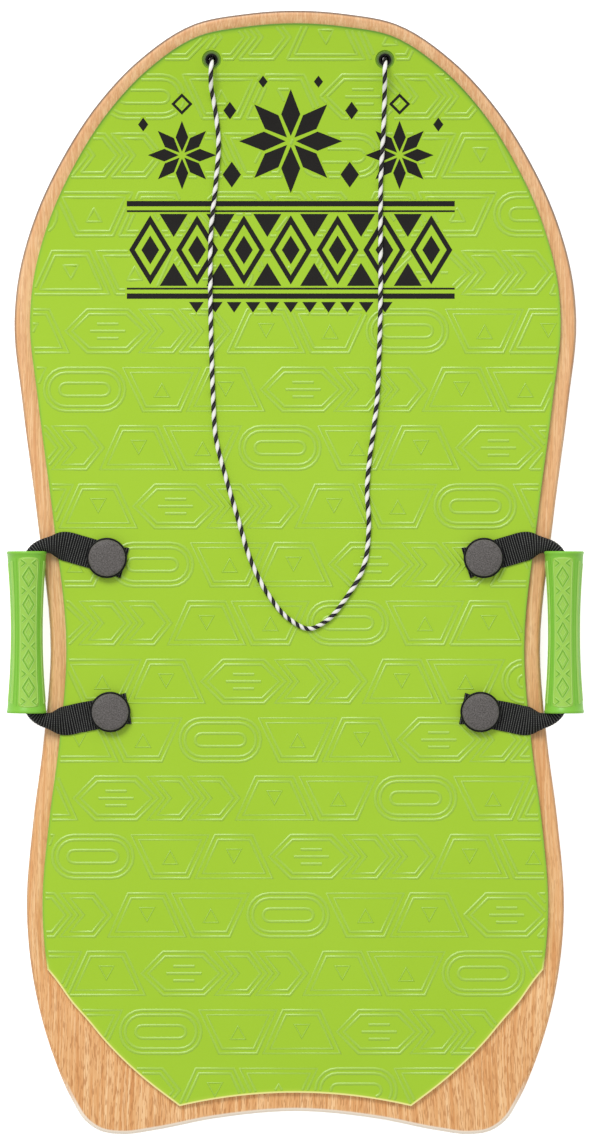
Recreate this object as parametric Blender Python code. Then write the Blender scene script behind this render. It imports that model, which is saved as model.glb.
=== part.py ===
# A snow slide board: a foam slab between a wood-grain skin and a slick bottom sheet,
# with a soft deck pad, a webbing handle with a moulded grip on each side and a tow rope.
# Metres. +X is right, +Y points to the nose, +Z is up, and the board stands on z = 0.

import math

import bmesh
import bpy
from mathutils import Matrix, Vector

# Board
BOARD_LENGTH = 1.219
BOARD_WIDTH = 0.611
SLICK_THICK = 0.0015
CORE_THICK = 0.028
SKIN_THICK = 0.002
DECK_THICK = 0.005
RAIL_RADIUS = 0.005
FOOT_CHAMFER = 0.003
NOSE_RISE = 0.045
NOSE_RUN = 0.320

# Deck pad
NOSE_MARGIN = 0.0140
SIDE_MARGIN = 0.0174
DECK_BEVEL = 0.001

# Handle webbing and the way it runs
STRAP_WIDTH = 0.032
STRAP_THICK = 0.002
STRAP_FRONT_TILT = math.radians(16)
STRAP_REAR_TILT = math.radians(11)
STRAP_ROLL = math.radians(282)
TAB_REACH = 0.0194
FOLD_REACH = 0.034

# Grips
GRIP_LENGTH = 0.176
GRIP_END_RADIUS = 0.0217
GRIP_WAIST_RADIUS = 0.0170
GRIP_SLIDE = 0.003
GRIP_STANDOFF = 0.0157
GRIP_LIP_LENGTH = 0.0032
GRIP_LIP_STEP = 0.0007
LIP_WALL = 0.0032
BELL_DEPTH = 0.026

# Handle anchors, from the button down to the flange nut under the board
ANCHOR_CENTRE_Y = -0.0666
ANCHOR_INSET = 0.0044
ANCHOR_SETBACK = 0.0731
ANCHOR_STAGGER = 0.0018
CUP_RADIUS = 0.022
CUP_WALL = 0.0012
CUP_HEIGHT = 0.006
CUP_FLOOR = 0.0025
CAP_RISE = 0.0042
BOLT_RADIUS = 0.003
BOLT_HEAD_RADIUS = 0.0065
BOLT_HEAD_HEIGHT = 0.003
BOLT_END_HEIGHT = 0.005
NUT_FLANGE_RADIUS = 0.019
NUT_FLANGE_THICK = 0.0022
NUT_BARREL_RADIUS = 0.006
NUT_HEIGHT = 0.020

# Tow rope and its eyelets
ROPE_RADIUS = 0.003
ROPE_HOLE_SPREAD = 0.0939
ROPE_HOLE_OFFSET = 0.0031
ROPE_HOLE_SETBACK = 0.0528
EYELET_BORE_RADIUS = 0.0042
EYELET_WALL = 0.001
EYELET_FLANGE_RADIUS = 0.0075
EYELET_FLANGE_THICK = 0.001
EYELET_WASHER_RADIUS = 0.009
EYELET_WASHER_THICK = 0.0015
KNOT_RADIUS = 0.008
KNOT_LENGTH = 0.014
KNOT_TAIL = 0.008

# Clearances and mesh fineness
FIT_GAP = 0.0003
RUNNING_GAP = 0.0004
ROLL_GAP = 0.0007
CUT_OVERRUN = 0.003
MERGE_DISTANCE = 0.000001
OUTLINE_STEPS = 2
STRAP_FACETS = 6
DISC_SIDES = 20
SMALL_SIDES = 12
GRIP_SIDES = 18
ROPE_POINTS = 68

# Board outline from the nose to the tail's notch: shares of the half width and the length
BOARD_SHARES = (
    (0.000, 0.0000), (0.180, 0.0030), (0.356, 0.0116), (0.556, 0.0437), (0.693, 0.0793),
    (0.834, 0.1327), (0.932, 0.1862), (0.988, 0.2396), (1.000, 0.2753), (0.972, 0.3465),
    (0.917, 0.4535), (0.871, 0.5693), (0.896, 0.6494), (0.933, 0.7207), (0.956, 0.8009),
    (0.932, 0.8633), (0.855, 0.9345), (0.793, 0.9702), (0.747, 0.9880), (0.695, 0.9969),
    (0.615, 1.0000), (0.512, 0.9969), (0.292, 0.9862), (0.000, 0.9795),
)

# The pad's tail, from its side corner to its tip, in the same shares, and its notch
DECK_TAIL_SHARES = (
    (0.882, 0.8526), (0.848, 0.8633), (0.798, 0.8811), (0.736, 0.8989),
    (0.677, 0.9167), (0.608, 0.9345), (0.528, 0.9523), (0.412, 0.9746),
)
DECK_NOTCH_SHARE = 0.9626
DECK_NOTCH_STEPS = 6
MARGIN_RUN_SHARE = 0.32
CORNER_GAP_SHARE = 0.008

# The strap's way from its fold into the grip: outboard share of the fold to grip distance,
# forward share of the strap's width from the grip's end, edge lift share and roll share
ARM_SHARES = (
    (0.000, 0.167, 0.0, 0.000),
    (0.146, 0.232, 0.0, 0.070), (0.292, 0.279, 0.0, 0.244), (0.438, 0.314, 0.1, 0.540),
    (0.566, 0.320, 0.3, 0.800), (0.675, 0.290, 0.6, 0.920), (0.766, 0.210, 0.8, 0.980),
    (0.848, 0.064, 1.0, 1.0), (0.913, -0.138, 1.0, 1.0), (0.960, -0.357, 1.0, 1.0),
    (0.989, -0.573, 1.0, 1.0), (1.000, -0.823, 1.0, 1.0),
)

# Grip stations along its half length, waist to lip, and the way its bell mouth narrows
GRIP_STATION_SHARES = (0.0, 0.26, 0.50, 0.72, 0.90)
BELL_STATION_SHARES = (0.12, 0.28, 0.48, 0.72, 1.0)
BELL_CURVE = 1.6

# Where the free rope lies on the deck, hole to hole, counted from midway between the holes
ROPE_ROUTE = (
    (-0.0939, 0.557), (-0.0945, 0.532), (-0.0900, 0.503), (-0.0865, 0.472), (-0.0895, 0.424),
    (-0.0947, 0.372), (-0.0955, 0.321), (-0.0945, 0.254), (-0.0922, 0.187), (-0.0895, 0.148),
    (-0.0785, 0.104), (-0.0655, 0.060), (-0.0510, 0.013), (-0.0330, -0.022), (-0.0090, -0.050),
    (0.0120, -0.060), (0.0310, -0.051), (0.0523, -0.026), (0.0705, 0.006), (0.0766, 0.052),
    (0.0748, 0.092), (0.0773, 0.123), (0.0822, 0.159), (0.0860, 0.194), (0.0877, 0.233),
    (0.0891, 0.283), (0.0895, 0.331), (0.0893, 0.382), (0.0898, 0.434), (0.0922, 0.476),
    (0.0935, 0.517), (0.0939, 0.557),
)

# Heights of the layers
SKIN_FOOT_Z = SLICK_THICK + FIT_GAP
CORE_TOP_Z = SKIN_FOOT_Z + CORE_THICK
SKIN_TOP_Z = CORE_TOP_Z + FIT_GAP + SKIN_THICK
DECK_FOOT_Z = SKIN_TOP_Z + FIT_GAP
DECK_TOP_Z = DECK_FOOT_Z + DECK_THICK
STRAP_FOOT_Z = DECK_TOP_Z + FIT_GAP
STRAP_TOP_Z = STRAP_FOOT_Z + STRAP_THICK
CUP_FOOT_Z = STRAP_TOP_Z + FIT_GAP
CAP_FOOT_Z = CUP_FOOT_Z + CUP_FLOOR + FIT_GAP

NOSE_Y = BOARD_LENGTH / 2
BEND_START_Y = NOSE_Y - NOSE_RUN

# The rolled strap and the bore that it runs through
ROLL_RADIUS = STRAP_WIDTH / STRAP_ROLL
GRIP_BORE_RADIUS = ROLL_RADIUS + STRAP_THICK / 2 + ROLL_GAP
MOUTH_RADIUS = GRIP_END_RADIUS - LIP_WALL
GRIP_CENTRE_Y = ANCHOR_CENTRE_Y + GRIP_SLIDE
GRIP_END_Y = GRIP_CENTRE_Y + GRIP_LENGTH / 2

BOLT_BORE_RADIUS = BOLT_RADIUS + FIT_GAP
EYELET_RADIUS = EYELET_BORE_RADIUS + EYELET_WALL
ROPE_HOLE_Y = NOSE_Y - ROPE_HOLE_SETBACK
SIDES = (("left", -1), ("right", 1))


def clear_scene():
    for old in list(bpy.data.objects):
        bpy.data.objects.remove(old, do_unlink=True)


def paint(name, red, green, blue, roughness, metallic=0):
    """A Principled material from a colour as it looks on a screen, 0 to 255."""
    material = bpy.data.materials.new(name)
    material.use_nodes = True
    shader = material.node_tree.nodes["Principled BSDF"]
    linear = [(channel / 255) ** 2.2 for channel in (red, green, blue)]
    shader.inputs["Base Color"].default_value = (*linear, 1)
    shader.inputs["Roughness"].default_value = roughness
    shader.inputs["Metallic"].default_value = metallic
    material.diffuse_color = (*linear, 1)
    return material


def blend(start, end, share):
    return start + (end - start) * share


def rocker(y):
    """How far the nose lifts the board at y."""
    return NOSE_RISE * (max(0, y - BEND_START_Y) / NOSE_RUN) ** 2


def rocker_angle(y):
    return math.atan(2 * NOSE_RISE * max(0, y - BEND_START_Y) / NOSE_RUN ** 2)


def add_object(name, bm, material, location=(0, 0, 0)):
    """Ends a bmesh as a named object with outward faces and smooth round sides."""
    bmesh.ops.recalc_face_normals(bm, faces=bm.faces)
    mesh = bpy.data.meshes.new(name)
    bm.to_mesh(mesh)
    bm.free()
    mesh.shade_smooth()
    mesh.set_sharp_from_angle(angle=math.radians(35))
    mesh.materials.append(material)
    item = bpy.data.objects.new(name, mesh)
    item.location = location
    bpy.context.collection.objects.link(item)
    return item


def make_cutter(item):
    item.hide_render = True
    item.display_type = "WIRE"


def cut(item, cutter):
    hole = item.modifiers.new("hole", "BOOLEAN")
    hole.operation = "DIFFERENCE"
    hole.solver = "EXACT"
    hole.object = cutter


def loft(bm, rings):
    """Walls between rings of points; each ring is closed on itself."""
    rows = [[bm.verts.new(point) for point in ring] for ring in rings]
    count = len(rows[0])
    for low, high in zip(rows, rows[1:]):
        for i in range(count):
            j = (i + 1) % count
            bm.faces.new((low[i], low[j], high[j], high[i]))
    return rows


def turn(bm, profile, sides, placing=Matrix()):
    """Spins (radius, height) points about Z; a profile off the axis closes into a ring."""
    verts = [bm.verts.new((radius, 0, height)) for radius, height in profile]
    edges = [bm.edges.new(pair) for pair in zip(verts, verts[1:])]
    if profile[0][0] > 0:
        edges.append(bm.edges.new((verts[-1], verts[0])))
    before = set(bm.verts) - set(verts)
    bmesh.ops.spin(bm, geom=verts + edges, cent=(0, 0, 0), axis=(0, 0, 1),
                   angle=math.tau, steps=sides, use_merge=True)
    new = [vert for vert in bm.verts if vert not in before]
    bmesh.ops.remove_doubles(bm, verts=new, dist=MERGE_DISTANCE)
    new = [vert for vert in bm.verts if vert not in before]
    bmesh.ops.transform(bm, matrix=placing, verts=new)


def turned(name, profile, sides, material, location=(0, 0, 0), rotation=(0, 0, 0)):
    bm = bmesh.new()
    turn(bm, profile, sides)
    item = add_object(name, bm, material, location)
    item.rotation_euler = rotation
    return item


def smooth_through(points, steps, before, after):
    """One smooth curve through the points; before and after steer its two ends."""
    chain = [before, *points, after]
    curve = []
    for p0, p1, p2, p3 in zip(chain, chain[1:], chain[2:], chain[3:]):
        d0, d1, d2 = (p1 - p0).length, (p2 - p1).length, (p3 - p2).length
        start_pull = ((p1 - p0) * (d1 / d0) + (p2 - p1) * (d0 / d1)) * (d1 / (d0 + d1))
        end_pull = ((p2 - p1) * (d2 / d1) + (p3 - p2) * (d1 / d2)) * (d1 / (d1 + d2))
        for step in range(steps):
            t = step / steps
            curve.append(p1 * (2 * t ** 3 - 3 * t ** 2 + 1) + start_pull * (t ** 3 - 2 * t ** 2 + t)
                         + p2 * (3 * t ** 2 - 2 * t ** 3) + end_pull * (t ** 3 - t ** 2))
    curve.append(points[-1].copy())
    return curve


def plan_point(half_width_share, length_share):
    return Vector((BOARD_WIDTH / 2 * half_width_share, NOSE_Y - BOARD_LENGTH * length_share))


def mirrored(point):
    return Vector((-point.x, point.y))


def whole_loop(right_half):
    """A closed outline from its right half, nose to tail; point i faces point -i."""
    return right_half + [mirrored(point) for point in right_half[-2:0:-1]]


def board_right_half():
    marks = [plan_point(*shares) for shares in BOARD_SHARES]
    return smooth_through(marks, OUTLINE_STEPS, mirrored(marks[1]), mirrored(marks[-2]))


def board_half_width(y):
    """The board's half width at y, ahead of its tail corners."""
    side = board_right_half()
    for ahead, behind in zip(side, side[1:]):
        if ahead.y >= y > behind.y:
            return blend(ahead.x, behind.x, (ahead.y - y) / (ahead.y - behind.y))
    return 0


def inset_loop(loop, margin):
    """The loop moved inwards by margin, a length or a rule that gives one from y."""
    moved = []
    for i, point in enumerate(loop):
        along = (loop[(i + 1) % len(loop)] - loop[i - 1]).normalized()
        distance = margin(point.y) if callable(margin) else margin
        moved.append(point + Vector((along.y, -along.x)) * distance)
    return moved


def deck_margin(y):
    """The wood rim is narrow at the nose and widens along the sides."""
    run = min(1, (NOSE_Y - y) / (BOARD_LENGTH * MARGIN_RUN_SHARE))
    return blend(NOSE_MARGIN, SIDE_MARGIN, run * run * (3 - 2 * run))


def deck_loop():
    right = board_right_half()
    inner = inset_loop(whole_loop(right), deck_margin)[:len(right)]
    tail = [plan_point(*shares) for shares in DECK_TAIL_SHARES]
    side_end_y = tail[0].y + BOARD_LENGTH * CORNER_GAP_SHARE
    side = [point for point in inner if point.y > side_end_y]
    ahead = tail[0] * 2 - tail[1]
    beyond = tail[-1] * 2 - tail[-2]
    edge = smooth_through(tail, 2, ahead, beyond)
    tip = tail[-1]
    notch_y = NOSE_Y - BOARD_LENGTH * DECK_NOTCH_SHARE
    notch = []
    for step in range(1, DECK_NOTCH_STEPS + 1):
        share = 1 - step / DECK_NOTCH_STEPS
        notch.append(Vector((tip.x * share, blend(notch_y, tip.y, share ** 2))))
    return whole_loop(side + edge + notch)


def bent_ring(loop, height):
    return [Vector((point.x, point.y, height + rocker(point.y))) for point in loop]


def cap_across(bm, row):
    """Closes an outline with strips across the lifted nose and one flat face behind it."""
    count = len(row)
    flat = next(i for i, vert in enumerate(row) if vert.co.y <= BEND_START_Y)
    bm.faces.new((row[0], row[1], row[-1]))
    for i in range(1, flat):
        bm.faces.new((row[i], row[i + 1], row[count - i - 1], row[count - i]))
    bm.faces.new(row[flat:count - flat + 1])


def layer(name, loop, profile, material, base):
    """A sheet or slab of the board from (inset, height) rings above its base height."""
    bm = bmesh.new()
    rings = [bent_ring(inset_loop(loop, inset), height - base) for inset, height in profile]
    rows = loft(bm, rings)
    cap_across(bm, rows[0])
    cap_across(bm, rows[-1])
    return add_object(name, bm, material, (0, 0, base))


def rail_profile(shrink, top, arc_steps):
    """The board's edge from its chamfered foot to its rounded top, shrunk inwards."""
    radius = RAIL_RADIUS - shrink
    rings = [(shrink + FOOT_CHAMFER, SKIN_FOOT_Z), (shrink, SKIN_FOOT_Z + FOOT_CHAMFER)]
    for step in range(arc_steps + 1):
        angle = math.pi / 2 * step / arc_steps
        rings.append((shrink + radius * (1 - math.cos(angle)),
                      top - radius + radius * math.sin(angle)))
    return rings


def build_board():
    """Slick sheet, foam core, wood-grain skin and deck pad, with their holes."""
    outline = whole_loop(board_right_half())
    slick = layer("slick_bottom", outline,
                  [(FOOT_CHAMFER + SLICK_THICK / 3, 0), (FOOT_CHAMFER, SLICK_THICK)],
                  paint("slick_sheet", 36, 36, 40, 0.35), 0)
    core = layer("foam_core", outline, rail_profile(SKIN_THICK + FIT_GAP, CORE_TOP_Z, 1),
                 paint("white_foam", 226, 226, 220, 0.9), SKIN_FOOT_Z)
    inside = rail_profile(SKIN_THICK, SKIN_TOP_Z - SKIN_THICK, 1)
    outside = rail_profile(0, SKIN_TOP_Z, 2)
    skin = layer("wood_skin", outline, inside[::-1] + outside,
                 paint("wood_grain_film", 228, 178, 128, 0.45), SKIN_FOOT_Z)
    deck = layer("deck_pad", deck_loop(),
                 [(0, DECK_FOOT_Z), (0, DECK_TOP_Z - DECK_BEVEL), (DECK_BEVEL, DECK_TOP_Z)],
                 paint("lime_deck_foam", 166, 208, 58, 0.7), DECK_FOOT_Z)
    anchor_holes = build_anchor_cutter()
    rope_holes = build_rope_hole_cutter()
    for item in (slick, core, skin, deck):
        cut(item, anchor_holes)
        cut(item, rope_holes)
    return anchor_holes


def anchor_x():
    return board_half_width(GRIP_END_Y) - ANCHOR_SETBACK


def fold_x():
    """The line, along Y, where a handle's strap folds up from the deck."""
    return anchor_x() + FOLD_REACH


def anchor_places():
    """Each button's name, centre in plan, side and end of its handle."""
    reach = GRIP_LENGTH / 2 - ANCHOR_INSET
    places = []
    for end_name, end in (("front", 1), ("rear", -1)):
        for side_name, side in SIDES:
            centre = Vector((side * (anchor_x() + end * ANCHOR_STAGGER), ANCHOR_CENTRE_Y + end * reach))
            places.append((end_name + "_" + side_name, centre, side, end))
    return places


def build_anchor_cutter():
    """The stepped hole that each anchor's bolt and flange nut sit in."""
    flange = NUT_FLANGE_RADIUS + FIT_GAP
    barrel = NUT_BARREL_RADIUS + FIT_GAP
    flange_top = NUT_FLANGE_THICK + 2 * FIT_GAP
    barrel_top = NUT_HEIGHT + FIT_GAP
    profile = [(0, -CUT_OVERRUN), (flange, -CUT_OVERRUN), (flange, flange_top),
               (barrel, flange_top), (barrel, barrel_top), (BOLT_BORE_RADIUS, barrel_top),
               (BOLT_BORE_RADIUS, STRAP_TOP_Z + CUT_OVERRUN), (0, STRAP_TOP_Z + CUT_OVERRUN)]
    bm = bmesh.new()
    for name, centre, side, end in anchor_places():
        turn(bm, profile, DISC_SIDES, Matrix.Translation((*centre, 0)))
    cutter = add_object("anchor_hole_cutter", bm, paint("cutter", 255, 0, 0, 1))
    make_cutter(cutter)
    return cutter


def build_anchors(anchor_holes):
    """For each strap end: a grey cap, its black cup, a bolt and a flange nut below."""
    cap_paint = paint("button_grey", 106, 101, 103, 0.5)
    cup_paint = paint("cup_black", 24, 24, 25, 0.45)
    bolt_paint = paint("bolt_steel", 170, 172, 175, 0.3, 1)
    nut_paint = paint("nut_black", 28, 28, 30, 0.5)
    webbing = paint("webbing_black", 30, 30, 32, 0.85)
    cap_radius = CUP_RADIUS - CUP_WALL - FIT_GAP
    pocket_radius = BOLT_HEAD_RADIUS + FIT_GAP
    pocket_top = BOLT_HEAD_HEIGHT + FIT_GAP
    rim = CUP_HEIGHT - CUP_FLOOR - FIT_GAP
    cap_profile = [(0, pocket_top), (pocket_radius, pocket_top), (pocket_radius, 0),
                   (cap_radius, 0), (cap_radius, rim + CAP_RISE * 0.3),
                   (cap_radius * 0.95, rim + CAP_RISE * 0.7), (cap_radius * 0.6, rim + CAP_RISE * 0.95),
                   (0, rim + CAP_RISE)]
    cup_profile = [(BOLT_BORE_RADIUS, 0), (CUP_RADIUS - CUP_WALL / 2, 0), (CUP_RADIUS, CUP_WALL / 2),
                   (CUP_RADIUS, CUP_HEIGHT - CUP_WALL / 2), (CUP_RADIUS - CUP_WALL / 2, CUP_HEIGHT),
                   (CUP_RADIUS - CUP_WALL, CUP_HEIGHT), (CUP_RADIUS - CUP_WALL, CUP_FLOOR),
                   (BOLT_BORE_RADIUS, CUP_FLOOR)]
    shank = CAP_FOOT_Z - BOLT_END_HEIGHT
    bolt_profile = [(0, -shank), (BOLT_RADIUS, -shank), (BOLT_RADIUS, 0), (BOLT_HEAD_RADIUS, 0),
                    (BOLT_HEAD_RADIUS * 0.9, BOLT_HEAD_HEIGHT * 0.6), (0, BOLT_HEAD_HEIGHT)]
    nut_profile = [(BOLT_BORE_RADIUS, 0), (NUT_FLANGE_RADIUS, 0), (NUT_FLANGE_RADIUS, NUT_FLANGE_THICK),
                   (NUT_BARREL_RADIUS, NUT_FLANGE_THICK), (NUT_BARREL_RADIUS, NUT_HEIGHT - FIT_GAP),
                   (BOLT_BORE_RADIUS, NUT_HEIGHT - FIT_GAP)]
    for name, centre, side, end in anchor_places():
        turned("button_cap_" + name, cap_profile, DISC_SIDES, cap_paint, (*centre, CAP_FOOT_Z))
        turned("button_cup_" + name, cup_profile, DISC_SIDES, cup_paint, (*centre, CUP_FOOT_Z))
        turned("anchor_bolt_" + name, bolt_profile, SMALL_SIDES, bolt_paint, (*centre, CAP_FOOT_Z))
        turned("flange_nut_" + name, nut_profile, DISC_SIDES, nut_paint, (*centre, FIT_GAP))
        strap_end = build_strap_end(name, centre, side, end, webbing)
        cut(strap_end, anchor_holes)


def strap_tilt(end):
    return STRAP_FRONT_TILT if end > 0 else STRAP_REAR_TILT


def fold_reach(end):
    """From an anchor's middle out to the fold line, which the front and rear ends share."""
    return FOLD_REACH - end * ANCHOR_STAGGER


def build_strap_end(name, centre, side, end, material):
    """The webbing's flat end, from its tab inboard of the button to the fold line."""
    along = Vector((math.cos(strap_tilt(end)), math.sin(strap_tilt(end))))
    across = Vector((-along.y, along.x))
    corners = []
    for half in (-STRAP_WIDTH / 2, STRAP_WIDTH / 2):
        to_fold = (fold_reach(end) - FIT_GAP / 2 + along.y * half) / along.x
        ends = [across * half - along * TAB_REACH, across * half + along * to_fold]
        corners += ends if half < 0 else ends[::-1]
    rings = []
    for height in (0, STRAP_THICK):
        rings.append([(side * corner.x, end * corner.y, height) for corner in corners])
    bm = bmesh.new()
    rows = loft(bm, rings)
    bm.faces.new(rows[0])
    bm.faces.new(rows[-1])
    return add_object("strap_end_" + name, bm, material, (*centre, STRAP_FOOT_Z))


def grip_axis_x():
    return board_half_width(GRIP_END_Y) + GRIP_STANDOFF


def grip_axis_z():
    """The height at which the grip's end rests on the rounded rail with a running gap."""
    reach = GRIP_END_RADIUS + RAIL_RADIUS + RUNNING_GAP
    return SKIN_TOP_Z - RAIL_RADIUS + math.sqrt(max(0, reach ** 2 - (GRIP_STANDOFF + RAIL_RADIUS) ** 2))


def strap_section(centre, across, width, edge_z, roll):
    """The strap's cross-section, rolled evenly from edge to edge with its crown on top."""
    points = []
    rolled = roll > 0
    radius = width / roll if rolled else 0
    for face in (1, -1):
        row = []
        for step in range(STRAP_FACETS + 1):
            share = step / STRAP_FACETS - 0.5
            angle = roll * share
            out = radius * math.sin(angle) if rolled else width * share
            rise = radius * (math.cos(angle) - math.cos(roll / 2))
            out += face * STRAP_THICK / 2 * math.sin(angle)
            rise += face * STRAP_THICK / 2 * math.cos(angle)
            row.append(Vector((*(centre - across * out), edge_z + rise)))
        points += row if face > 0 else row[::-1]
    return points


def arm_sections(end):
    """The right strap from its fold into the grip at one end."""
    flat_z = STRAP_FOOT_Z + STRAP_THICK / 2
    rolled_z = grip_axis_z() + ROLL_RADIUS * math.cos(STRAP_ROLL / 2)
    anchor = next(centre for name, centre, side, place in anchor_places() if side > 0 and place == end)
    # y counts outwards from the grip's middle here
    start = Vector((fold_x() + FIT_GAP / 2,
                    end * (anchor.y - GRIP_CENTRE_Y) + fold_reach(end) * math.tan(strap_tilt(end))))
    drift = (start.y - GRIP_LENGTH / 2) / STRAP_WIDTH - ARM_SHARES[0][1]
    marks = [(start, 0, 0)]
    for outboard, forward, lift, roll in ARM_SHARES[1:]:
        ahead_share = forward + drift * (1 - outboard)
        place = Vector((blend(fold_x(), grip_axis_x(), outboard), GRIP_LENGTH / 2 + STRAP_WIDTH * ahead_share))
        marks.append((place, lift, roll))
    skew_width = STRAP_WIDTH / math.cos(strap_tilt(end))
    arm = [strap_section(start, Vector((0, 1)), skew_width, flat_z, 0)]
    for i in range(1, len(marks)):
        place, lift, roll = marks[i]
        ahead = marks[min(i + 1, len(marks) - 1)][0]
        along = (ahead - marks[i - 1][0]).normalized() if ahead is not place else Vector((0, -1))
        across = Vector((-along.y, along.x))
        arm.append(strap_section(place, across, STRAP_WIDTH, blend(flat_z, rolled_z, lift), roll * STRAP_ROLL))
    return [[Vector((point.x, GRIP_CENTRE_Y + end * point.y, point.z)) for point in section] for section in arm]


def handle_sections():
    """The right handle's strap, front fold to rear fold, through the grip."""
    return arm_sections(1) + arm_sections(-1)[::-1]


def grip_radius(share):
    """The grip's waisted outside at a share of its half length."""
    return blend(GRIP_WAIST_RADIUS, GRIP_END_RADIUS - GRIP_LIP_STEP, share ** 2)


def grip_half_profile():
    """From the waist out to the lip, round it and down the bell mouth to the bore."""
    half = GRIP_LENGTH / 2
    points = [(grip_radius(share), half * share) for share in GRIP_STATION_SHARES]
    points.append((grip_radius(1), half - GRIP_LIP_LENGTH))
    points.append((GRIP_END_RADIUS, half - GRIP_LIP_LENGTH + GRIP_LIP_STEP))
    points.append((GRIP_END_RADIUS, half - GRIP_LIP_STEP))
    points.append((GRIP_END_RADIUS - GRIP_LIP_STEP, half))
    points.append((MOUTH_RADIUS, half))
    for share in BELL_STATION_SHARES:
        narrowing = (1 - share) ** BELL_CURVE
        points.append((blend(GRIP_BORE_RADIUS, MOUTH_RADIUS, narrowing), half - BELL_DEPTH * share))
    return points


def build_handles():
    """Each handle's strap, its origin on the fold line, and the grip that turns on it."""
    webbing = paint("handle_webbing", 30, 30, 32, 0.85)
    rubber = paint("grip_green", 120, 200, 68, 0.55)
    half = grip_half_profile()
    profile = [(radius, -height) for radius, height in half[:0:-1]] + half
    for side_name, side in SIDES:
        pivot = Vector((side * fold_x(), GRIP_CENTRE_Y, STRAP_TOP_Z))
        rings = []
        for section in handle_sections():
            rings.append([Vector((side * point.x, point.y, point.z)) - pivot for point in section])
        bm = bmesh.new()
        rows = loft(bm, rings)
        bm.faces.new(rows[0])
        bm.faces.new(rows[-1])
        strap = add_object(side_name + "_strap", bm, webbing, pivot)
        axis = Vector((side * grip_axis_x(), GRIP_CENTRE_Y, grip_axis_z()))
        grip = turned(side_name + "_grip", profile, GRIP_SIDES, rubber, axis - pivot, (math.pi / 2, 0, 0))
        grip.parent = strap


def rope_hole_frame(side):
    """Places an eyelet's own Z square to the lifted deck, its origin on the deck's top."""
    centre = (ROPE_HOLE_OFFSET + side * ROPE_HOLE_SPREAD, ROPE_HOLE_Y, DECK_TOP_Z + rocker(ROPE_HOLE_Y))
    return Matrix.Translation(centre) @ Matrix.Rotation(rocker_angle(ROPE_HOLE_Y), 4, "X")


def board_depth():
    """The whole stack's thickness square to the lifted deck, at the rope holes."""
    return DECK_TOP_Z * math.cos(rocker_angle(ROPE_HOLE_Y))


def build_rope_hole_cutter():
    radius = EYELET_RADIUS + FIT_GAP
    reach = board_depth() + CUT_OVERRUN
    profile = [(0, -reach), (radius, -reach), (radius, CUT_OVERRUN), (0, CUT_OVERRUN)]
    bm = bmesh.new()
    for side_name, side in SIDES:
        turn(bm, profile, SMALL_SIDES, rope_hole_frame(side))
    cutter = add_object("rope_hole_cutter", bm, paint("cutter", 255, 0, 0, 1))
    make_cutter(cutter)
    return cutter


def build_eyelets():
    """Each rope hole's eyelet, the washer below it and the rope's knotted end."""
    black = paint("eyelet_black", 26, 26, 26, 0.4)
    washer_paint = paint("washer_steel", 160, 162, 165, 0.35, 1)
    cord = paint("rope_end_white", 235, 235, 232, 0.8)
    washer_top = -board_depth() - FIT_GAP
    washer_foot = washer_top - EYELET_WASHER_THICK
    flange_foot = FIT_GAP
    flange_top = flange_foot + EYELET_FLANGE_THICK
    eyelet_profile = [(EYELET_BORE_RADIUS, washer_foot), (EYELET_RADIUS, washer_foot),
                      (EYELET_RADIUS, flange_foot), (EYELET_FLANGE_RADIUS, flange_foot),
                      (EYELET_FLANGE_RADIUS, flange_foot + EYELET_FLANGE_THICK / 2),
                      (EYELET_FLANGE_RADIUS - EYELET_FLANGE_THICK / 2, flange_top),
                      (EYELET_BORE_RADIUS, flange_top)]
    washer_bore = EYELET_RADIUS + FIT_GAP
    washer_profile = [(washer_bore, washer_foot), (EYELET_WASHER_RADIUS, washer_foot),
                      (EYELET_WASHER_RADIUS, washer_top), (washer_bore, washer_top)]
    knot_top = washer_foot - FIT_GAP
    knot_foot = knot_top - KNOT_LENGTH
    knot_middle = knot_top - KNOT_LENGTH / 2
    knot_shoulder = KNOT_RADIUS * 0.8
    end_profile = [(0, knot_foot - KNOT_TAIL), (ROPE_RADIUS, knot_foot - KNOT_TAIL),
                   (ROPE_RADIUS, knot_foot), (knot_shoulder, knot_foot + KNOT_LENGTH * 0.2),
                   (KNOT_RADIUS, knot_middle), (knot_shoulder, knot_top - KNOT_LENGTH * 0.1),
                   (knot_shoulder * 0.8, knot_top), (ROPE_RADIUS, knot_top),
                   (ROPE_RADIUS, flange_top), (0, flange_top)]
    for side_name, side in SIDES:
        frame = rope_hole_frame(side)
        place, turning = frame.to_translation(), frame.to_euler()
        turned("eyelet_" + side_name, eyelet_profile, SMALL_SIDES, black, place, turning)
        turned("eyelet_washer_" + side_name, washer_profile, SMALL_SIDES, washer_paint, place, turning)
        turned("rope_end_" + side_name, end_profile, SMALL_SIDES, cord, place, turning)


def rope_pivot():
    """Midway between the two points where the rope swings, just clear of its fixed ends."""
    lift = EYELET_FLANGE_THICK + 2 * FIT_GAP + ROPE_RADIUS
    place = rope_hole_frame(1) @ Vector((0, 0, lift))
    return Vector((ROPE_HOLE_OFFSET, place.y, place.z))


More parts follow.
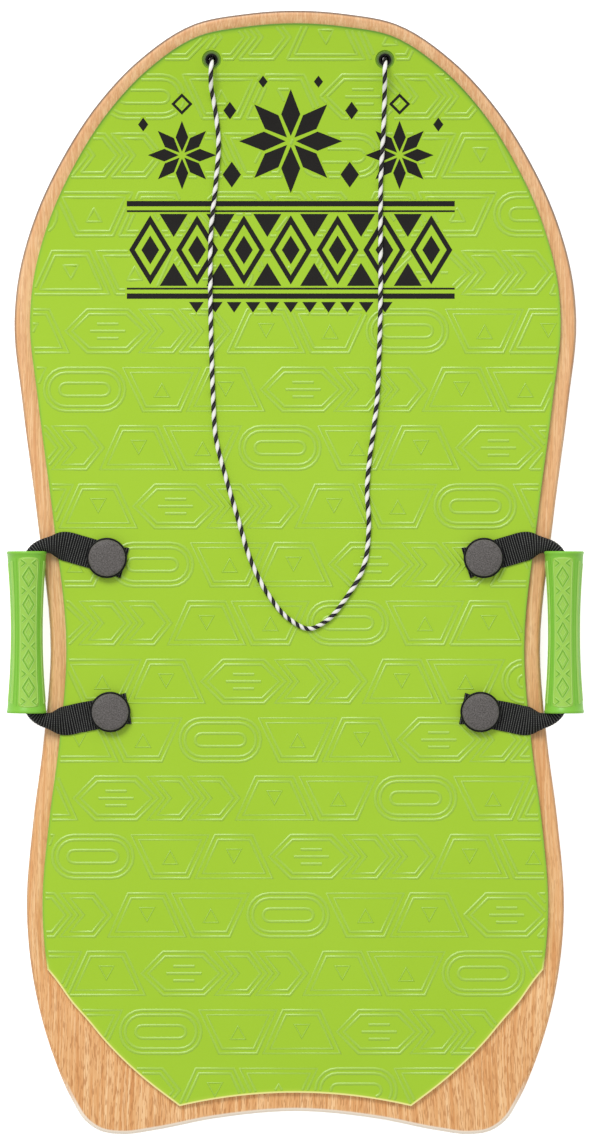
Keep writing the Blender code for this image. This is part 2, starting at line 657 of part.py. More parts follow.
def build_tow_rope():
    """The free loop of rope as it lies on the deck, its origin on its swing axis."""
    pivot = rope_pivot()
    hole_half = EYELET_FLANGE_RADIUS
    marks = [Vector(mark) for mark in ROPE_ROUTE]
    marks[0] = Vector((-ROPE_HOLE_SPREAD, pivot.y))
    marks[-1] = Vector((ROPE_HOLE_SPREAD, pivot.y))
    for mark in marks:
        mark.x += ROPE_HOLE_OFFSET
    dense = smooth_through(marks, 12, marks[0] * 2 - marks[1], marks[-1] * 2 - marks[-2])
    travelled = [0]
    for here, there in zip(dense, dense[1:]):
        travelled.append(travelled[-1] + (there - here).length)
    points = []
    at = 0
    for i in range(ROPE_POINTS):
        goal = travelled[-1] * i / (ROPE_POINTS - 1)
        while at < len(dense) - 2 and travelled[at + 1] < goal:
            at += 1
        share = (goal - travelled[at]) / (travelled[at + 1] - travelled[at])
        spot = dense[at].lerp(dense[at + 1], share)
        resting = DECK_TOP_Z + rocker(spot.y) + (ROPE_RADIUS + FIT_GAP) / math.cos(rocker_angle(spot.y))
        over_flange = EYELET_FLANGE_THICK + FIT_GAP
        near = min((spot - marks[0]).length, (spot - marks[-1]).length)
        fade = min(1, max(0, (near - hole_half) / (2 * hole_half)))
        points.append(Vector((*spot, resting + over_flange * (1 - fade))) - pivot)
    curve = bpy.data.curves.new("tow_rope", "CURVE")
    curve.dimensions = "3D"
    curve.bevel_depth = ROPE_RADIUS
    curve.bevel_resolution = 2
    curve.use_fill_caps = True
    spline = curve.splines.new("POLY")
    spline.points.add(len(points) - 1)
    for knot, point in zip(spline.points, points):
        knot.co = (*point, 1)
    curve.materials.append(paint("rope_white", 235, 235, 232, 0.8))
    rope = bpy.data.objects.new("tow_rope", curve)
    rope.location = pivot
    bpy.context.collection.objects.link(rope)


def main():
    clear_scene()
    anchor_holes = build_board()
    build_anchors(anchor_holes)
    build_handles()
    build_eyelets()
    build_tow_rope()


main()
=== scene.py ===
import math

import bmesh
import bpy
from mathutils import Matrix, Vector
from mathutils.bvhtree import BVHTree


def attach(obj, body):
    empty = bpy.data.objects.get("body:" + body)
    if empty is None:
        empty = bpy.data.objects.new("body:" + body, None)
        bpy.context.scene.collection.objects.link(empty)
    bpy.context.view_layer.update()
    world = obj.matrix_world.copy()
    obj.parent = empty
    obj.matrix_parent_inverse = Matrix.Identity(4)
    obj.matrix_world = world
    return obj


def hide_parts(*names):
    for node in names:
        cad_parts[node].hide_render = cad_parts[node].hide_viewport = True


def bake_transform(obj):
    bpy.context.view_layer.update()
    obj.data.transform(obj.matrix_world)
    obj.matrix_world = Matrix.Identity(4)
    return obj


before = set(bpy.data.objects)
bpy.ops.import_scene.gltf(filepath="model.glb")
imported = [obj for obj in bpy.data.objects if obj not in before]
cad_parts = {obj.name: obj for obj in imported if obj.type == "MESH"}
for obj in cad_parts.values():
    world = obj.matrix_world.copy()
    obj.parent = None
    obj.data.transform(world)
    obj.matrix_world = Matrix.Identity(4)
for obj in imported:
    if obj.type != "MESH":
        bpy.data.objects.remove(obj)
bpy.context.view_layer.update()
scene = bpy.context.scene
scene.view_settings.view_transform = "Standard"

# The board's own measures, in metres, as the CAD has them
board = {
    "length": 1.219, "width": 0.611,
    "noseRise": 0.045, "noseRun": 0.320,      # how far and from where the nose lifts
    "slickTop": 0.0015, "skinFoot": 0.0018, "coreTop": 0.0298, "skinTop": 0.0321,
    "deckFoot": 0.0324, "deckTop": 0.0374,
    "railRadius": 0.005, "footChamfer": 0.003, "skinThick": 0.002,
    "slickRound": 0.0006, "coreInset": 0.0023, "coreRound": 0.0027,
    "outlineSteps": 6, "noseRow": 0.008,      # points between marks, spacing of the rows that bend
    "flatWithin": 3, "smoothUpTo": 30,        # degrees off the deck's slope, degrees between faces
    "outline": (                              # shares of the half width and of the length from the nose
        (0.000, 0.0000), (0.180, 0.0030), (0.356, 0.0116), (0.556, 0.0437), (0.693, 0.0793),
        (0.834, 0.1327), (0.932, 0.1862), (0.988, 0.2396), (1.000, 0.2753), (0.972, 0.3465),
        (0.917, 0.4535), (0.871, 0.5693), (0.896, 0.6494), (0.933, 0.7207), (0.956, 0.8009),
        (0.932, 0.8633), (0.855, 0.9345), (0.793, 0.9702), (0.747, 0.9880), (0.695, 0.9969),
        (0.615, 1.0000), (0.512, 0.9969), (0.292, 0.9862), (0.000, 0.9795)),
}
noseY = board["length"] / 2
bendStart = noseY - board["noseRun"]
sides = (("left", -1), ("right", 1))
hair = 1e-6                                   # closer than this is the same place


def blendValues(start, end, share):
    return start + (end - start) * share


def smoothStep(share):
    share = min(1, max(0, share))
    return share * share * (3 - 2 * share)


def noseLift(y):
    return board["noseRise"] * (max(0, y - bendStart) / board["noseRun"]) ** 2


def noseAngle(y):
    return math.atan(2 * board["noseRise"] * max(0, y - bendStart) / board["noseRun"] ** 2)


def smoothThrough(marks, steps, before, after):
    # one smooth curve through the marks; before and after steer its ends
    chain = [before, *marks, after]
    curve = []
    for p0, p1, p2, p3 in zip(chain, chain[1:], chain[2:], chain[3:]):
        d0, d1, d2 = (p1 - p0).length, (p2 - p1).length, (p3 - p2).length
        pull1 = ((p1 - p0) * (d1 / d0) + (p2 - p1) * (d0 / d1)) * (d1 / (d0 + d1))
        pull2 = ((p2 - p1) * (d2 / d1) + (p3 - p2) * (d1 / d2)) * (d1 / (d1 + d2))
        for step in range(steps):
            t = step / steps
            curve.append(p1 * (2 * t ** 3 - 3 * t ** 2 + 1) + pull1 * (t ** 3 - 2 * t ** 2 + t)
                         + p2 * (3 * t ** 2 - 2 * t ** 3) + pull2 * (t ** 3 - t ** 2))
    curve.append(marks[-1].copy())
    return curve


def travelledTo(points):
    # how far along the line each of its points lies
    travelled = [0]
    for here, there in zip(points, points[1:]):
        travelled.append(travelled[-1] + (there - here).length)
    return travelled


def lineLength(points):
    return travelledTo(points)[-1]


def evenPoints(points, spacing):
    # the same line with its points the same distance apart
    travelled = travelledTo(points)
    count = max(1, round(travelled[-1] / spacing))
    even, at = [], 0
    for i in range(count + 1):
        goal = travelled[-1] * i / count
        while at < len(points) - 2 and travelled[at + 1] < goal:
            at += 1
        share = (goal - travelled[at]) / (travelled[at + 1] - travelled[at])
        even.append(points[at].lerp(points[at + 1], min(1, share)))
    return even


def planPoint(widthShare, lengthShare):
    return Vector((board["width"] / 2 * widthShare, noseY - board["length"] * lengthShare))


def mirroredPoint(point):
    return Vector((-point.x, point.y))


def wholeLoop(rightHalf):
    return rightHalf + [mirroredPoint(point) for point in rightHalf[-2:0:-1]]


def boardRightSide():
    marks = [planPoint(*shares) for shares in board["outline"]]
    return smoothThrough(marks, board["outlineSteps"], mirroredPoint(marks[1]), mirroredPoint(marks[-2]))


def insetLoop(loop, margin):
    # mitred inset of a clockwise loop; margin is a length or a rule that gives one from y
    moved = []
    for i, point in enumerate(loop):
        back = (point - loop[i - 1]).normalized()
        on = (loop[(i + 1) % len(loop)] - point).normalized()
        side1, side2 = Vector((back.y, -back.x)), Vector((on.y, -on.x))
        distance = margin(point.y) if callable(margin) else margin
        moved.append(point + (side1 + side2) / (1 + side1.dot(side2)) * distance)
    return moved


def makePiece(name, bm, *materials, sharpAngle=35):
    mesh = bpy.data.meshes.new(name)
    bm.to_mesh(mesh)
    bm.free()
    for material in materials:
        mesh.materials.append(material)
    return pieceFrom(name, mesh, sharpAngle)


def pieceFrom(name, mesh, sharpAngle):
    mesh.shade_smooth()
    mesh.set_sharp_from_angle(angle=math.radians(sharpAngle))
    piece = bpy.data.objects.new(name, mesh)
    scene.collection.objects.link(piece)
    return piece


def settle(piece, body, slotName, *nodes):
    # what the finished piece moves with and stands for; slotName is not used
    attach(piece, body)
    if nodes:
        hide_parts(*nodes)


def bakedMesh(item):
    # the item's mesh with its modifiers, or its curve, made real
    bpy.context.view_layer.update()
    return bpy.data.meshes.new_from_object(item.evaluated_get(bpy.context.evaluated_depsgraph_get()))


def cutWith(piece, *cutters):
    for cutter in cutters:
        hole = piece.modifiers.new("hole", "BOOLEAN")
        hole.operation = "DIFFERENCE"
        hole.solver = "EXACT"
        hole.object = cutter
    finished = bakedMesh(piece)
    piece.modifiers.clear()
    piece.data = finished


def spinProfile(bm, profile, steps, placing=Matrix()):
    # turns (radius, height) points about Z; a profile off the axis closes into a ring
    before = set(bm.verts)
    verts = [bm.verts.new((radius, 0, height)) for radius, height in profile]
    edges = [bm.edges.new(pair) for pair in zip(verts, verts[1:])]
    if profile[0][0] > 0:
        edges.append(bm.edges.new((verts[-1], verts[0])))
    bmesh.ops.spin(bm, geom=verts + edges, cent=(0, 0, 0), axis=(0, 0, 1),
                   angle=math.tau, steps=steps, use_merge=True)
    bmesh.ops.remove_doubles(bm, verts=[v for v in bm.verts if v not in before], dist=hair)
    new = [v for v in bm.verts if v not in before]
    bmesh.ops.transform(bm, matrix=placing, verts=new)
    bmesh.ops.recalc_face_normals(bm, faces=list({face for v in new for face in v.link_faces}))


def raiseFaces(bm, faces, rise):
    # extrudes the faces and lifts the new ones
    risen = bmesh.ops.extrude_face_region(bm, geom=faces)["geom"]
    bmesh.ops.translate(bm, verts=[item for item in risen if isinstance(item, bmesh.types.BMVert)],
                        vec=(0, 0, rise))


def raisedGrid(columns, rows, size):
    bm = bmesh.new()
    bmesh.ops.create_grid(bm, x_segments=columns, y_segments=rows, size=size)
    raiseFaces(bm, bm.faces[:], 1)
    return bm


def faceOutwards(bm):
    bmesh.ops.recalc_face_normals(bm, faces=bm.faces)
    if bm.calc_volume(signed=True) < 0:
        bmesh.ops.reverse_faces(bm, faces=bm.faces)


def slabFromOutline(outline, foot, top):
    bm = bmesh.new()
    base = bm.faces.new([bm.verts.new((point.x, point.y, foot)) for point in outline])
    raiseFaces(bm, [base], top - foot)
    faceOutwards(bm)
    return bm


def roundEdges(bm, height, radius, segments):
    # rounds the edges that lie at one height
    edges = [edge for edge in bm.edges if all(abs(v.co.z - height) < hair for v in edge.verts)]
    return bmesh.ops.bevel(bm, geom=edges, offset=radius, offset_type="OFFSET", segments=segments,
                           profile=0.5, affect="EDGES", material=-1)["faces"]


def bendOverNose(bm):
    # rows of edges across the nose, then the lift
    y = bendStart
    while y < noseY:
        bmesh.ops.bisect_plane(bm, geom=bm.verts[:] + bm.edges[:] + bm.faces[:], dist=hair,
                               plane_co=(0, y, 0), plane_no=(0, 1, 0))
        y += board["noseRow"]
    for vert in bm.verts:
        vert.co.z += noseLift(vert.co.y)


def shadeBoardLayer(piece):
    # smooth edges and holes, with the flat and gently bent faces kept apart from them
    bm = bmesh.new()
    bm.from_mesh(piece.data)
    broad = set()
    for face in bm.faces:
        tilt = noseAngle(face.calc_center_median().y)
        slope = Vector((0, -math.sin(tilt), math.cos(tilt)))
        if abs(face.normal.dot(slope)) > math.cos(math.radians(board["flatWithin"])):
            broad.add(face)
    for edge in bm.edges:
        sameKind = len({face in broad for face in edge.link_faces}) == 1
        edge.smooth = sameKind and edge.calc_face_angle(math.pi) < math.radians(board["smoothUpTo"])
    bm.to_mesh(piece.data)
    bm.free()


def boardLayer(name, bm, materials, cutters, wallThickness=0):
    # bends a slab over the nose and bores its holes; with a wall it is a shell
    bendOverNose(bm)
    piece = makePiece(name, bm, *materials)
    if wallThickness:
        wall = piece.modifiers.new("wall", "SOLIDIFY")
        wall.thickness = wallThickness
        wall.offset = -1
        wall.use_even_offset = True
    cutWith(piece, *cutters)
    shadeBoardLayer(piece)
    return piece


# Materials

def screenColour(red, green, blue):
    linear = []
    for channel in (red / 255, green / 255, blue / 255):
        linear.append(channel / 12.92 if channel <= 0.04045 else ((channel + 0.055) / 1.055) ** 2.4)
    return (*linear, 1)


def screenColours(**colours):
    return {name: screenColour(*colour) for name, colour in colours.items()}


def addNode(tree, kind, sockets=None, **settings):
    node = tree.nodes.new(kind)
    for name, value in settings.items():
        setattr(node, name, value)
    for name, value in (sockets or {}).items():
        if isinstance(value, bpy.types.NodeSocket):
            tree.links.new(value, node.inputs[name])
        else:
            node.inputs[name].default_value = value
    return node


def startMaterial(name, roughness, metallic=0, specular=0.5):
    material = bpy.data.materials.new(name)
    material.use_nodes = True
    tree = material.node_tree
    shader = tree.nodes["Principled BSDF"]
    shader.inputs["Roughness"].default_value = roughness
    shader.inputs["Metallic"].default_value = metallic
    shader.inputs["Specular IOR Level"].default_value = specular
    return material, tree, shader


def splitVector(tree, kind, output):
    return addNode(tree, "ShaderNodeSeparateXYZ", {"Vector": addNode(tree, kind).outputs[output]}).outputs


def objectNoise(tree, scale, stretch=(1, 1, 1), detail=2, roughness=0.5, shift=None):
    place = addNode(tree, "ShaderNodeTexCoord").outputs["Object"]
    if shift:
        place = addNode(tree, "ShaderNodeVectorMath", {0: place, 1: shift}, operation="ADD").outputs[0]
    mapping = addNode(tree, "ShaderNodeMapping", {"Vector": place, "Scale": stretch})
    return addNode(tree, "ShaderNodeTexNoise", {"Vector": mapping.outputs["Vector"], "Scale": scale,
                                                "Detail": detail, "Roughness": roughness}).outputs["Fac"]


def rampColour(tree, factor, *stops):
    ramp = addNode(tree, "ShaderNodeValToRGB", {"Fac": factor})
    elements = ramp.color_ramp.elements
    while len(elements) < len(stops):
        elements.new(0.5)
    for element, (position, colour) in zip(elements, stops):
        element.position = position
        element.color = colour
    return ramp.outputs["Color"]


def rangeValue(tree, value, low, high, newLow=0.0, newHigh=1.0):
    return addNode(tree, "ShaderNodeMapRange", {"Value": value, "From Min": low, "From Max": high,
                                                "To Min": newLow, "To Max": newHigh}).outputs["Result"]


def mixColour(tree, factor, first, second, mode="MIX"):
    node = addNode(tree, "ShaderNodeMix", {0: factor, 6: first, 7: second}, data_type="RGBA", blend_type=mode)
    return node.outputs[2]


def combine(tree, operation, first, second=0.0):
    return addNode(tree, "ShaderNodeMath", {0: first, 1: second}, operation=operation).outputs[0]


def addBump(tree, shader, height, strength, distance):
    bump = addNode(tree, "ShaderNodeBump", {"Height": height, "Strength": strength, "Distance": distance})
    tree.links.new(bump.outputs["Normal"], shader.inputs["Normal"])


def foamMaterial(name, low, high, roughness, pebble, specular=0.5, recolour=None):
    # closed-cell foam: a very even colour with fine pebbles in the skin
    material, tree, shader = startMaterial(name, roughness, specular=specular)
    broad = objectNoise(tree, 9, detail=3)
    colour = rampColour(tree, broad, (0.3, screenColour(*low)), (0.7, screenColour(*high)))
    tree.links.new(recolour(tree, colour) if recolour else colour, shader.inputs["Base Color"])
    grain = objectNoise(tree, 1100, detail=3, roughness=0.6)
    tree.links.new(rangeValue(tree, grain, 0.3, 0.7, roughness - 0.05, roughness + 0.06),
                   shader.inputs["Roughness"])
    addBump(tree, shader, grain, pebble, 0.0002)
    return material


def woodFilmMaterial():
    # the pale tail tone is a painted highlight, the bluish grey rail tone painted shade
    tone = screenColours(base=(235, 178, 117), orange=(217, 149, 85), pale=(252, 210, 158),
                         fleck=(190, 126, 68), tailEdge=(255, 240, 220), railTint=(112, 118, 138),
                         nose=(230, 187, 154))
    # where along the board each comes in, from and to, and how strong it is there
    reach = {"pores": (-0.38, -0.50, 0.36, 0.72), "nose": (-0.45, noseY, 0, 0.3),
             "tailEdge": (-0.545, -0.580), "railTint": (0.10, 0.42, 0.25, 0.9), "railStart": (-0.50, -0.44)}
    material, tree, shader = startMaterial("woodGrainFilm", 0.42)
    place = splitVector(tree, "ShaderNodeTexCoord", "Object")

    def along(start, end, low=0.0, high=1.0):
        return rangeValue(tree, place["Y"], start, end, low, high)

    sway = rangeValue(tree, objectNoise(tree, 5, detail=1), 0, 1, -0.012, 0.012)
    drift = addNode(tree, "ShaderNodeCombineXYZ", {"X": sway}).outputs[0]
    bands = objectNoise(tree, 130, (1, 0.028, 1), 2, 0.5, drift)
    streaks = objectNoise(tree, 480, (1, 0.024, 1), 3, 0.65, drift)
    flecks = objectNoise(tree, 880, (1, 0.10, 1), 1, 0.5, drift)
    stops = ((0.36, tone["orange"]), (0.50, tone["base"]), (0.64, tone["pale"]))
    colour = mixColour(tree, 0.7, rampColour(tree, bands, *stops), rampColour(tree, streaks, *stops))
    # short pores, more of them towards the tail, and a pinker tone towards the nose
    pores = combine(tree, "MULTIPLY", rangeValue(tree, flecks, 0.54, 0.60), along(*reach["pores"]))
    colour = mixColour(tree, pores, colour, tone["fleck"])
    colour = mixColour(tree, along(*reach["nose"]), colour, tone["nose"])
    # painted highlight: the rail is pale over its rounding along the tail
    top = board["skinTop"]
    overEdge = rangeValue(tree, place["Z"], top - 0.00002, top - 0.0003)
    colour = mixColour(tree, combine(tree, "MULTIPLY", along(*reach["tailEdge"]), overEdge), colour,
                       tone["tailEdge"])
    # painted shade: the rail darkens towards the nose, where its drop counts from the lifted top
    lift = combine(tree, "POWER", along(bendStart, noseY), 2.0)
    drop = combine(tree, "SUBTRACT", combine(tree, "MULTIPLY", lift, board["noseRise"]), place["Z"])
    onRail = rangeValue(tree, drop, 0.0004 - top, 0.0016 - top)
    strength = combine(tree, "MULTIPLY", along(*reach["railTint"]), along(*reach["railStart"]))
    tint = combine(tree, "MULTIPLY", onRail, strength)
    colour = mixColour(tree, tint, colour, tone["railTint"], "MULTIPLY")
    tree.links.new(colour, shader.inputs["Base Color"])
    addBump(tree, shader, flecks, 0.12, 0.0003)
    return material


def mouldedMaterial(name, colour, roughness, speckle=6, grainScale=1400, bump=0.25, metallic=0, specular=0.5):
    # moulded plastic or plated metal with a fine speckle
    material, tree, shader = startMaterial(name, roughness, metallic, specular)
    grain = objectNoise(tree, grainScale, detail=2, roughness=0.7)
    low = screenColour(*[max(0, channel - speckle) for channel in colour])
    high = screenColour(*[min(255, channel + speckle) for channel in colour])
    tree.links.new(rampColour(tree, grain, (0.32, low), (0.68, high)), shader.inputs["Base Color"])
    wear = objectNoise(tree, 60, detail=3)
    tree.links.new(rangeValue(tree, wear, 0.3, 0.7, roughness - 0.06, roughness + 0.06),
                   shader.inputs["Roughness"])
    addBump(tree, shader, grain, bump, 0.0001)
    return material


def slickMaterial():
    material, tree, shader = startMaterial("slickSheet", 0.28)
    scuffs = objectNoise(tree, 300, (1, 0.012, 1), 3, 0.65)
    cloud = objectNoise(tree, 14, detail=3)
    tree.links.new(rampColour(tree, cloud, (0.3, screenColour(30, 30, 33)), (0.7, screenColour(38, 38, 42))),
                   shader.inputs["Base Color"])
    tree.links.new(rangeValue(tree, scuffs, 0.45, 0.7, 0.26, 0.38), shader.inputs["Roughness"])
    addBump(tree, shader, scuffs, 0.03, 0.0002)
    return material


def wave(tree, operation, place, turns):
    return combine(tree, operation, combine(tree, "MULTIPLY", place, math.tau * turns))


def webbingMaterial():
    # cross ribs and yarns read the webbing's own UV map, in metres along and across
    tone = screenColours(yarn=(6, 6, 7), crest=(130, 131, 128))
    material, tree, shader = startMaterial("ribbedWebbing", 0.7, specular=0.12)
    uv = splitVector(tree, "ShaderNodeUVMap", "UV")
    rib = rangeValue(tree, wave(tree, "COSINE", uv["X"], 1 / strap["ribPitch"]), -1, 1)
    yarn = rangeValue(tree, wave(tree, "COSINE", uv["Y"], 1 / strap["yarnPitch"]), -1, 1)
    crest = combine(tree, "POWER", rib, 5.0)
    knuckle = combine(tree, "MULTIPLY", crest, rangeValue(tree, yarn, 0, 1, 0.45, 1.0))
    fuzz = objectNoise(tree, 900, detail=3, roughness=0.7)
    shade = combine(tree, "MULTIPLY", knuckle, rangeValue(tree, fuzz, 0.3, 0.7, 0.35, 1.0))
    tree.links.new(mixColour(tree, shade, tone["yarn"], tone["crest"]), shader.inputs["Base Color"])
    addBump(tree, shader, combine(tree, "ADD", combine(tree, "MULTIPLY", rib, 0.5), yarn), 0.5, 0.0004)
    return material


def ropeMaterial():
    # the UV map runs along the rope in X and round it in Y, and the strands twist with it
    tone = screenColours(white=(255, 253, 249), shade=(205, 202, 198), black=(14, 12, 13), sheen=(70, 66, 70))
    material, tree, shader = startMaterial("twistedRope", 0.65, specular=0.12)
    uv = splitVector(tree, "ShaderNodeUVMap", "UV")
    fibres = combine(tree, "ADD", combine(tree, "MULTIPLY", uv["X"], math.tau * rope["fibres"]),
                     combine(tree, "MULTIPLY", uv["Y"], math.tau * rope["fibreTurns"]))
    fibre = rangeValue(tree, combine(tree, "SINE", fibres), -1, 1)

    def strand(start, end, power, low, darker, lighter):
        # painted highlight along the strand's crown, painted shade towards its sides
        across = combine(tree, "SINE", rangeValue(tree, uv["Y"], start, end, 0, math.pi))
        crown = combine(tree, "POWER", across, power)
        return mixColour(tree, combine(tree, "MULTIPLY", crown, rangeValue(tree, fibre, 0, 1, low, 1.0)),
                         tone[darker], tone[lighter])

    pale = strand(blackShare, 1, 0.5, 0.8, "shade", "white")
    dark = strand(0, blackShare, 4.0, 0.4, "black", "sheen")
    isBlack = combine(tree, "LESS_THAN", uv["Y"], blackShare)
    tree.links.new(mixColour(tree, isBlack, pale, dark), shader.inputs["Base Color"])
    addBump(tree, shader, fibre, 0.35, 0.0003)
    return material


# The camera looks straight down from far off, as the photo does
camera = {"lens": 300, "sensor": 36, "pixels": 1136, "metresPerPixel": 0.00108615,
          "centre": (0.0007, 0.0061), "sharpHeight": 0.0374}
eye = bpy.data.objects.new("camera", bpy.data.cameras.new("camera"))
eye.data.lens = camera["lens"]
eye.data.sensor_width = camera["sensor"]
eye.data.clip_end = 60
reach = camera["pixels"] * camera["metresPerPixel"] * camera["lens"] / camera["sensor"]
eye.location = (*camera["centre"], camera["sharpHeight"] + reach)
scene.collection.objects.link(eye)
scene.camera = eye
print("camera", round(reach, 3), "m above the deck")

# The tow rope: twisted cord from one hole to the other, and a stopper knot under each hole
rope = {
    "radius": 0.0026, "spacing": 0.0012, "planStep": 0.0005, "routeSteps": 16,
    "lay": 0.0175, "tightLay": 0.0105, "holeLay": 0.0215,     # the length of one turn of the twist
    "tightFade": (-0.062, 0.058), "holeFade": (0.44, 0.06),   # where it changes, and over what length
    "fibres": 900, "fibreTurns": 9, "groove": 0.20,
    "blackPoints": 11, "whitePoints": 13,     # points round the section of the black and the white strand
    "holeX": 0.0939, "holeY": 0.5567,         # the holes' centres on the deck
    "offset": 0.0031,                         # how far to the right the holes and the route lie
    "exitHeight": 0.001, "bend": 0.0125,      # where the rope starts to bend over, and how tightly
    "settle": 0.046, "inside": 0.008,         # where it is down on the deck, how much shows in the bore
    "restGap": 0.0003, "swingBend": 0.050,    # the length that bends when the loop swings
    "route": (
        (-0.0939, 0.557), (-0.0945, 0.532), (-0.0900, 0.503), (-0.0865, 0.472), (-0.0895, 0.424),
        (-0.0947, 0.372), (-0.0955, 0.321), (-0.0945, 0.254), (-0.0922, 0.187), (-0.0895, 0.148),
        (-0.0785, 0.104), (-0.0655, 0.060), (-0.0510, 0.013), (-0.0330, -0.022), (-0.0090, -0.050),
        (0.0120, -0.060), (0.0310, -0.051), (0.0523, -0.026), (0.0705, 0.006), (0.0766, 0.052),
        (0.0748, 0.092), (0.0773, 0.123), (0.0822, 0.159), (0.0860, 0.194), (0.0877, 0.233),
        (0.0891, 0.283), (0.0895, 0.331), (0.0893, 0.382), (0.0898, 0.434), (0.0922, 0.476),
        (0.0935, 0.517), (0.0939, 0.557)),
}
blackShare = rope["blackPoints"] / (rope["blackPoints"] + rope["whitePoints"])


def holeFrame(side):
    y = rope["holeY"]
    centre = (rope["offset"] + side * rope["holeX"], y, board["deckTop"] + noseLift(y))
    return Matrix.Translation(centre) @ Matrix.Rotation(noseAngle(y), 4, "X")


def ropeHeight(distance):
    # height over the deck, at a distance along the deck from the hole
    low, bend = rope["radius"] + rope["restGap"], rope["bend"]
    if distance < bend:
        return rope["exitHeight"] + math.sqrt(bend ** 2 - (bend - distance) ** 2)
    share = min(1, (distance - bend) / (rope["settle"] - bend))
    return low + (rope["exitHeight"] + bend - low) * (1 + math.cos(math.pi * share)) / 2


def ropeLine():
    marks = [Vector((x + rope["offset"], y)) for x, y in rope["route"]]
    marks[0].y = marks[-1].y = rope["holeY"]
    smooth = smoothThrough(marks, rope["routeSteps"], marks[0] * 2 - marks[1], marks[-1] * 2 - marks[-2])
    plan = evenPoints(smooth, rope["planStep"])
    step = lineLength(smooth) / (len(plan) - 1)
    line = []
    for side, order in ((-1, 1), (1, -1)):
        half = []
        for i in range(len(plan) // 2 + (side < 0)):
            spot = plan[i] if side < 0 else plan[-1 - i]
            height = ropeHeight(i * step)
            tilt = noseAngle(spot.y)
            half.append(Vector((spot.x, spot.y - height * math.sin(tilt),
                                board["deckTop"] + noseLift(spot.y) + height * math.cos(tilt))))
        bore = [holeFrame(side) @ Vector((0, 0, z)) for z in (-rope["inside"], -rope["inside"] / 2, 0)]
        line += (bore + half)[::order]
    return evenPoints(line, rope["spacing"])


def strandProfile():
    # a black and a white strand laid together, as a closed flat curve with a groove at each border
    points = []
    for start, width, count in ((0, blackShare, rope["blackPoints"]),
                                (blackShare, 1 - blackShare, rope["whitePoints"])):
        for i in range(count):
            angle = math.tau * (start + width * i / count)
            radius = rope["radius"] * (1 - rope["groove"] * abs(2 * i / count - 1) ** 4)
            points.append((radius * math.cos(angle), radius * math.sin(angle)))
    return flatSection("strands", points)


def flatSection(name, points):
    curve = bpy.data.curves.new(name, "CURVE")
    curve.dimensions = "2D"
    spline = curve.splines.new("POLY")
    spline.points.add(len(points) - 1)
    for point, (x, y) in zip(spline.points, points):
        point.co = (x, y, 0, 1)
    spline.use_cyclic_u = True
    section = bpy.data.objects.new(name, curve)
    scene.collection.objects.link(section)
    return section


def turnSides(mesh):
    # a section that runs counterclockwise gives sides that face inwards, between caps that face outwards
    bm = bmesh.new()
    bm.from_mesh(mesh)
    if bm.calc_volume(signed=True) < 0:
        bmesh.ops.reverse_faces(bm, faces=[face for face in bm.faces if len(face.verts) == 4])
        bm.to_mesh(mesh)
    bm.free()


def sweptPiece(name, lines, material, section=None, depth=0.0, twist="MINIMUM", tilts=None, sharpAngle=60):
    # a tube along every line, round or with a section of its own; a line that ends where it starts is closed
    curve = bpy.data.curves.new(name, "CURVE")
    curve.dimensions = "3D"
    curve.twist_mode = twist
    curve.use_fill_caps = True
    if section:
        curve.bevel_mode = "OBJECT"
        curve.bevel_object = section
    else:
        curve.bevel_depth = depth
        curve.bevel_resolution = 1
    for index, line in enumerate(lines):
        closed = (line[0] - line[-1]).length < 1e-5
        if closed:
            line = line[:-1]
        spline = curve.splines.new("POLY")
        spline.points.add(len(line) - 1)
        spline.use_cyclic_u = closed
        for i, (place, point) in enumerate(zip(spline.points, line)):
            place.co = (*point, 1)
            place.tilt = tilts[index][i] if tilts else 0
    shape = bpy.data.objects.new(name + "Shape", curve)
    scene.collection.objects.link(shape)
    mesh = bakedMesh(shape)
    turnSides(mesh)
    mesh.name = name
    mesh.materials.clear()
    mesh.materials.append(material)
    bpy.data.objects.remove(shape)
    if section:
        bpy.data.objects.remove(section)
    return pieceFrom(name, mesh, sharpAngle)


def ropeTilts(line):
    # the cord's twist, tighter where the photo shows it so, counted from the middle
    turns = [0]
    tightEnd, tightRun = rope["tightFade"]
    holeStart, holeRun = rope["holeFade"]
    for here, there in zip(line, line[1:]):
        lay = blendValues(rope["tightLay"], rope["lay"], smoothStep((there.y - tightEnd) / tightRun))
        lay = blendValues(lay, rope["holeLay"], smoothStep((there.y - holeStart) / holeRun))
        turns.append(turns[-1] + (there - here).length / lay)
    return [math.tau * (turn - turns[-1] / 2) for turn in turns]


def twistedCord(name, lines):
    return sweptPiece(name, lines, twisted, strandProfile(), tilts=[ropeTilts(line) for line in lines],
                      sharpAngle=80)


twisted = ropeMaterial()
ropePath = ropeLine()
towRope = twistedCord("towRope", [ropePath])
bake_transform(towRope)
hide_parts("tow_rope")
print("tow rope", round(lineLength(ropePath), 3), "m")

knot = {"top": -0.0392, "length": 0.014, "tail": 0.008, "coilRadius": 0.0052, "turns": 2.6, "steps": 60,
        "coilEnds": 0.1}
for sideName, side in sides:
    placing = holeFrame(side)
    foot = knot["top"] - knot["length"]
    straight = [placing @ Vector((0, 0, z / 1000))
                for z in range(-2, round((foot - knot["tail"]) * 1000), -1)]
    coil = []
    for i in range(knot["steps"] + 1):
        share = i / knot["steps"]
        start, end = smoothStep(share / knot["coilEnds"]), smoothStep((1 - share) / knot["coilEnds"])
        out = knot["coilRadius"] * start * end
        angle = math.tau * knot["turns"] * share
        height = blendValues(knot["top"] - rope["radius"], foot + rope["radius"], share)
        coil.append(placing @ Vector((out * math.cos(angle), out * math.sin(angle), height)))
    stopper = twistedCord("ropeKnot" + sideName.capitalize(), [straight, coil])
    settle(stopper, "board", "rope", "rope_end_" + sideName)
print("rope knots")

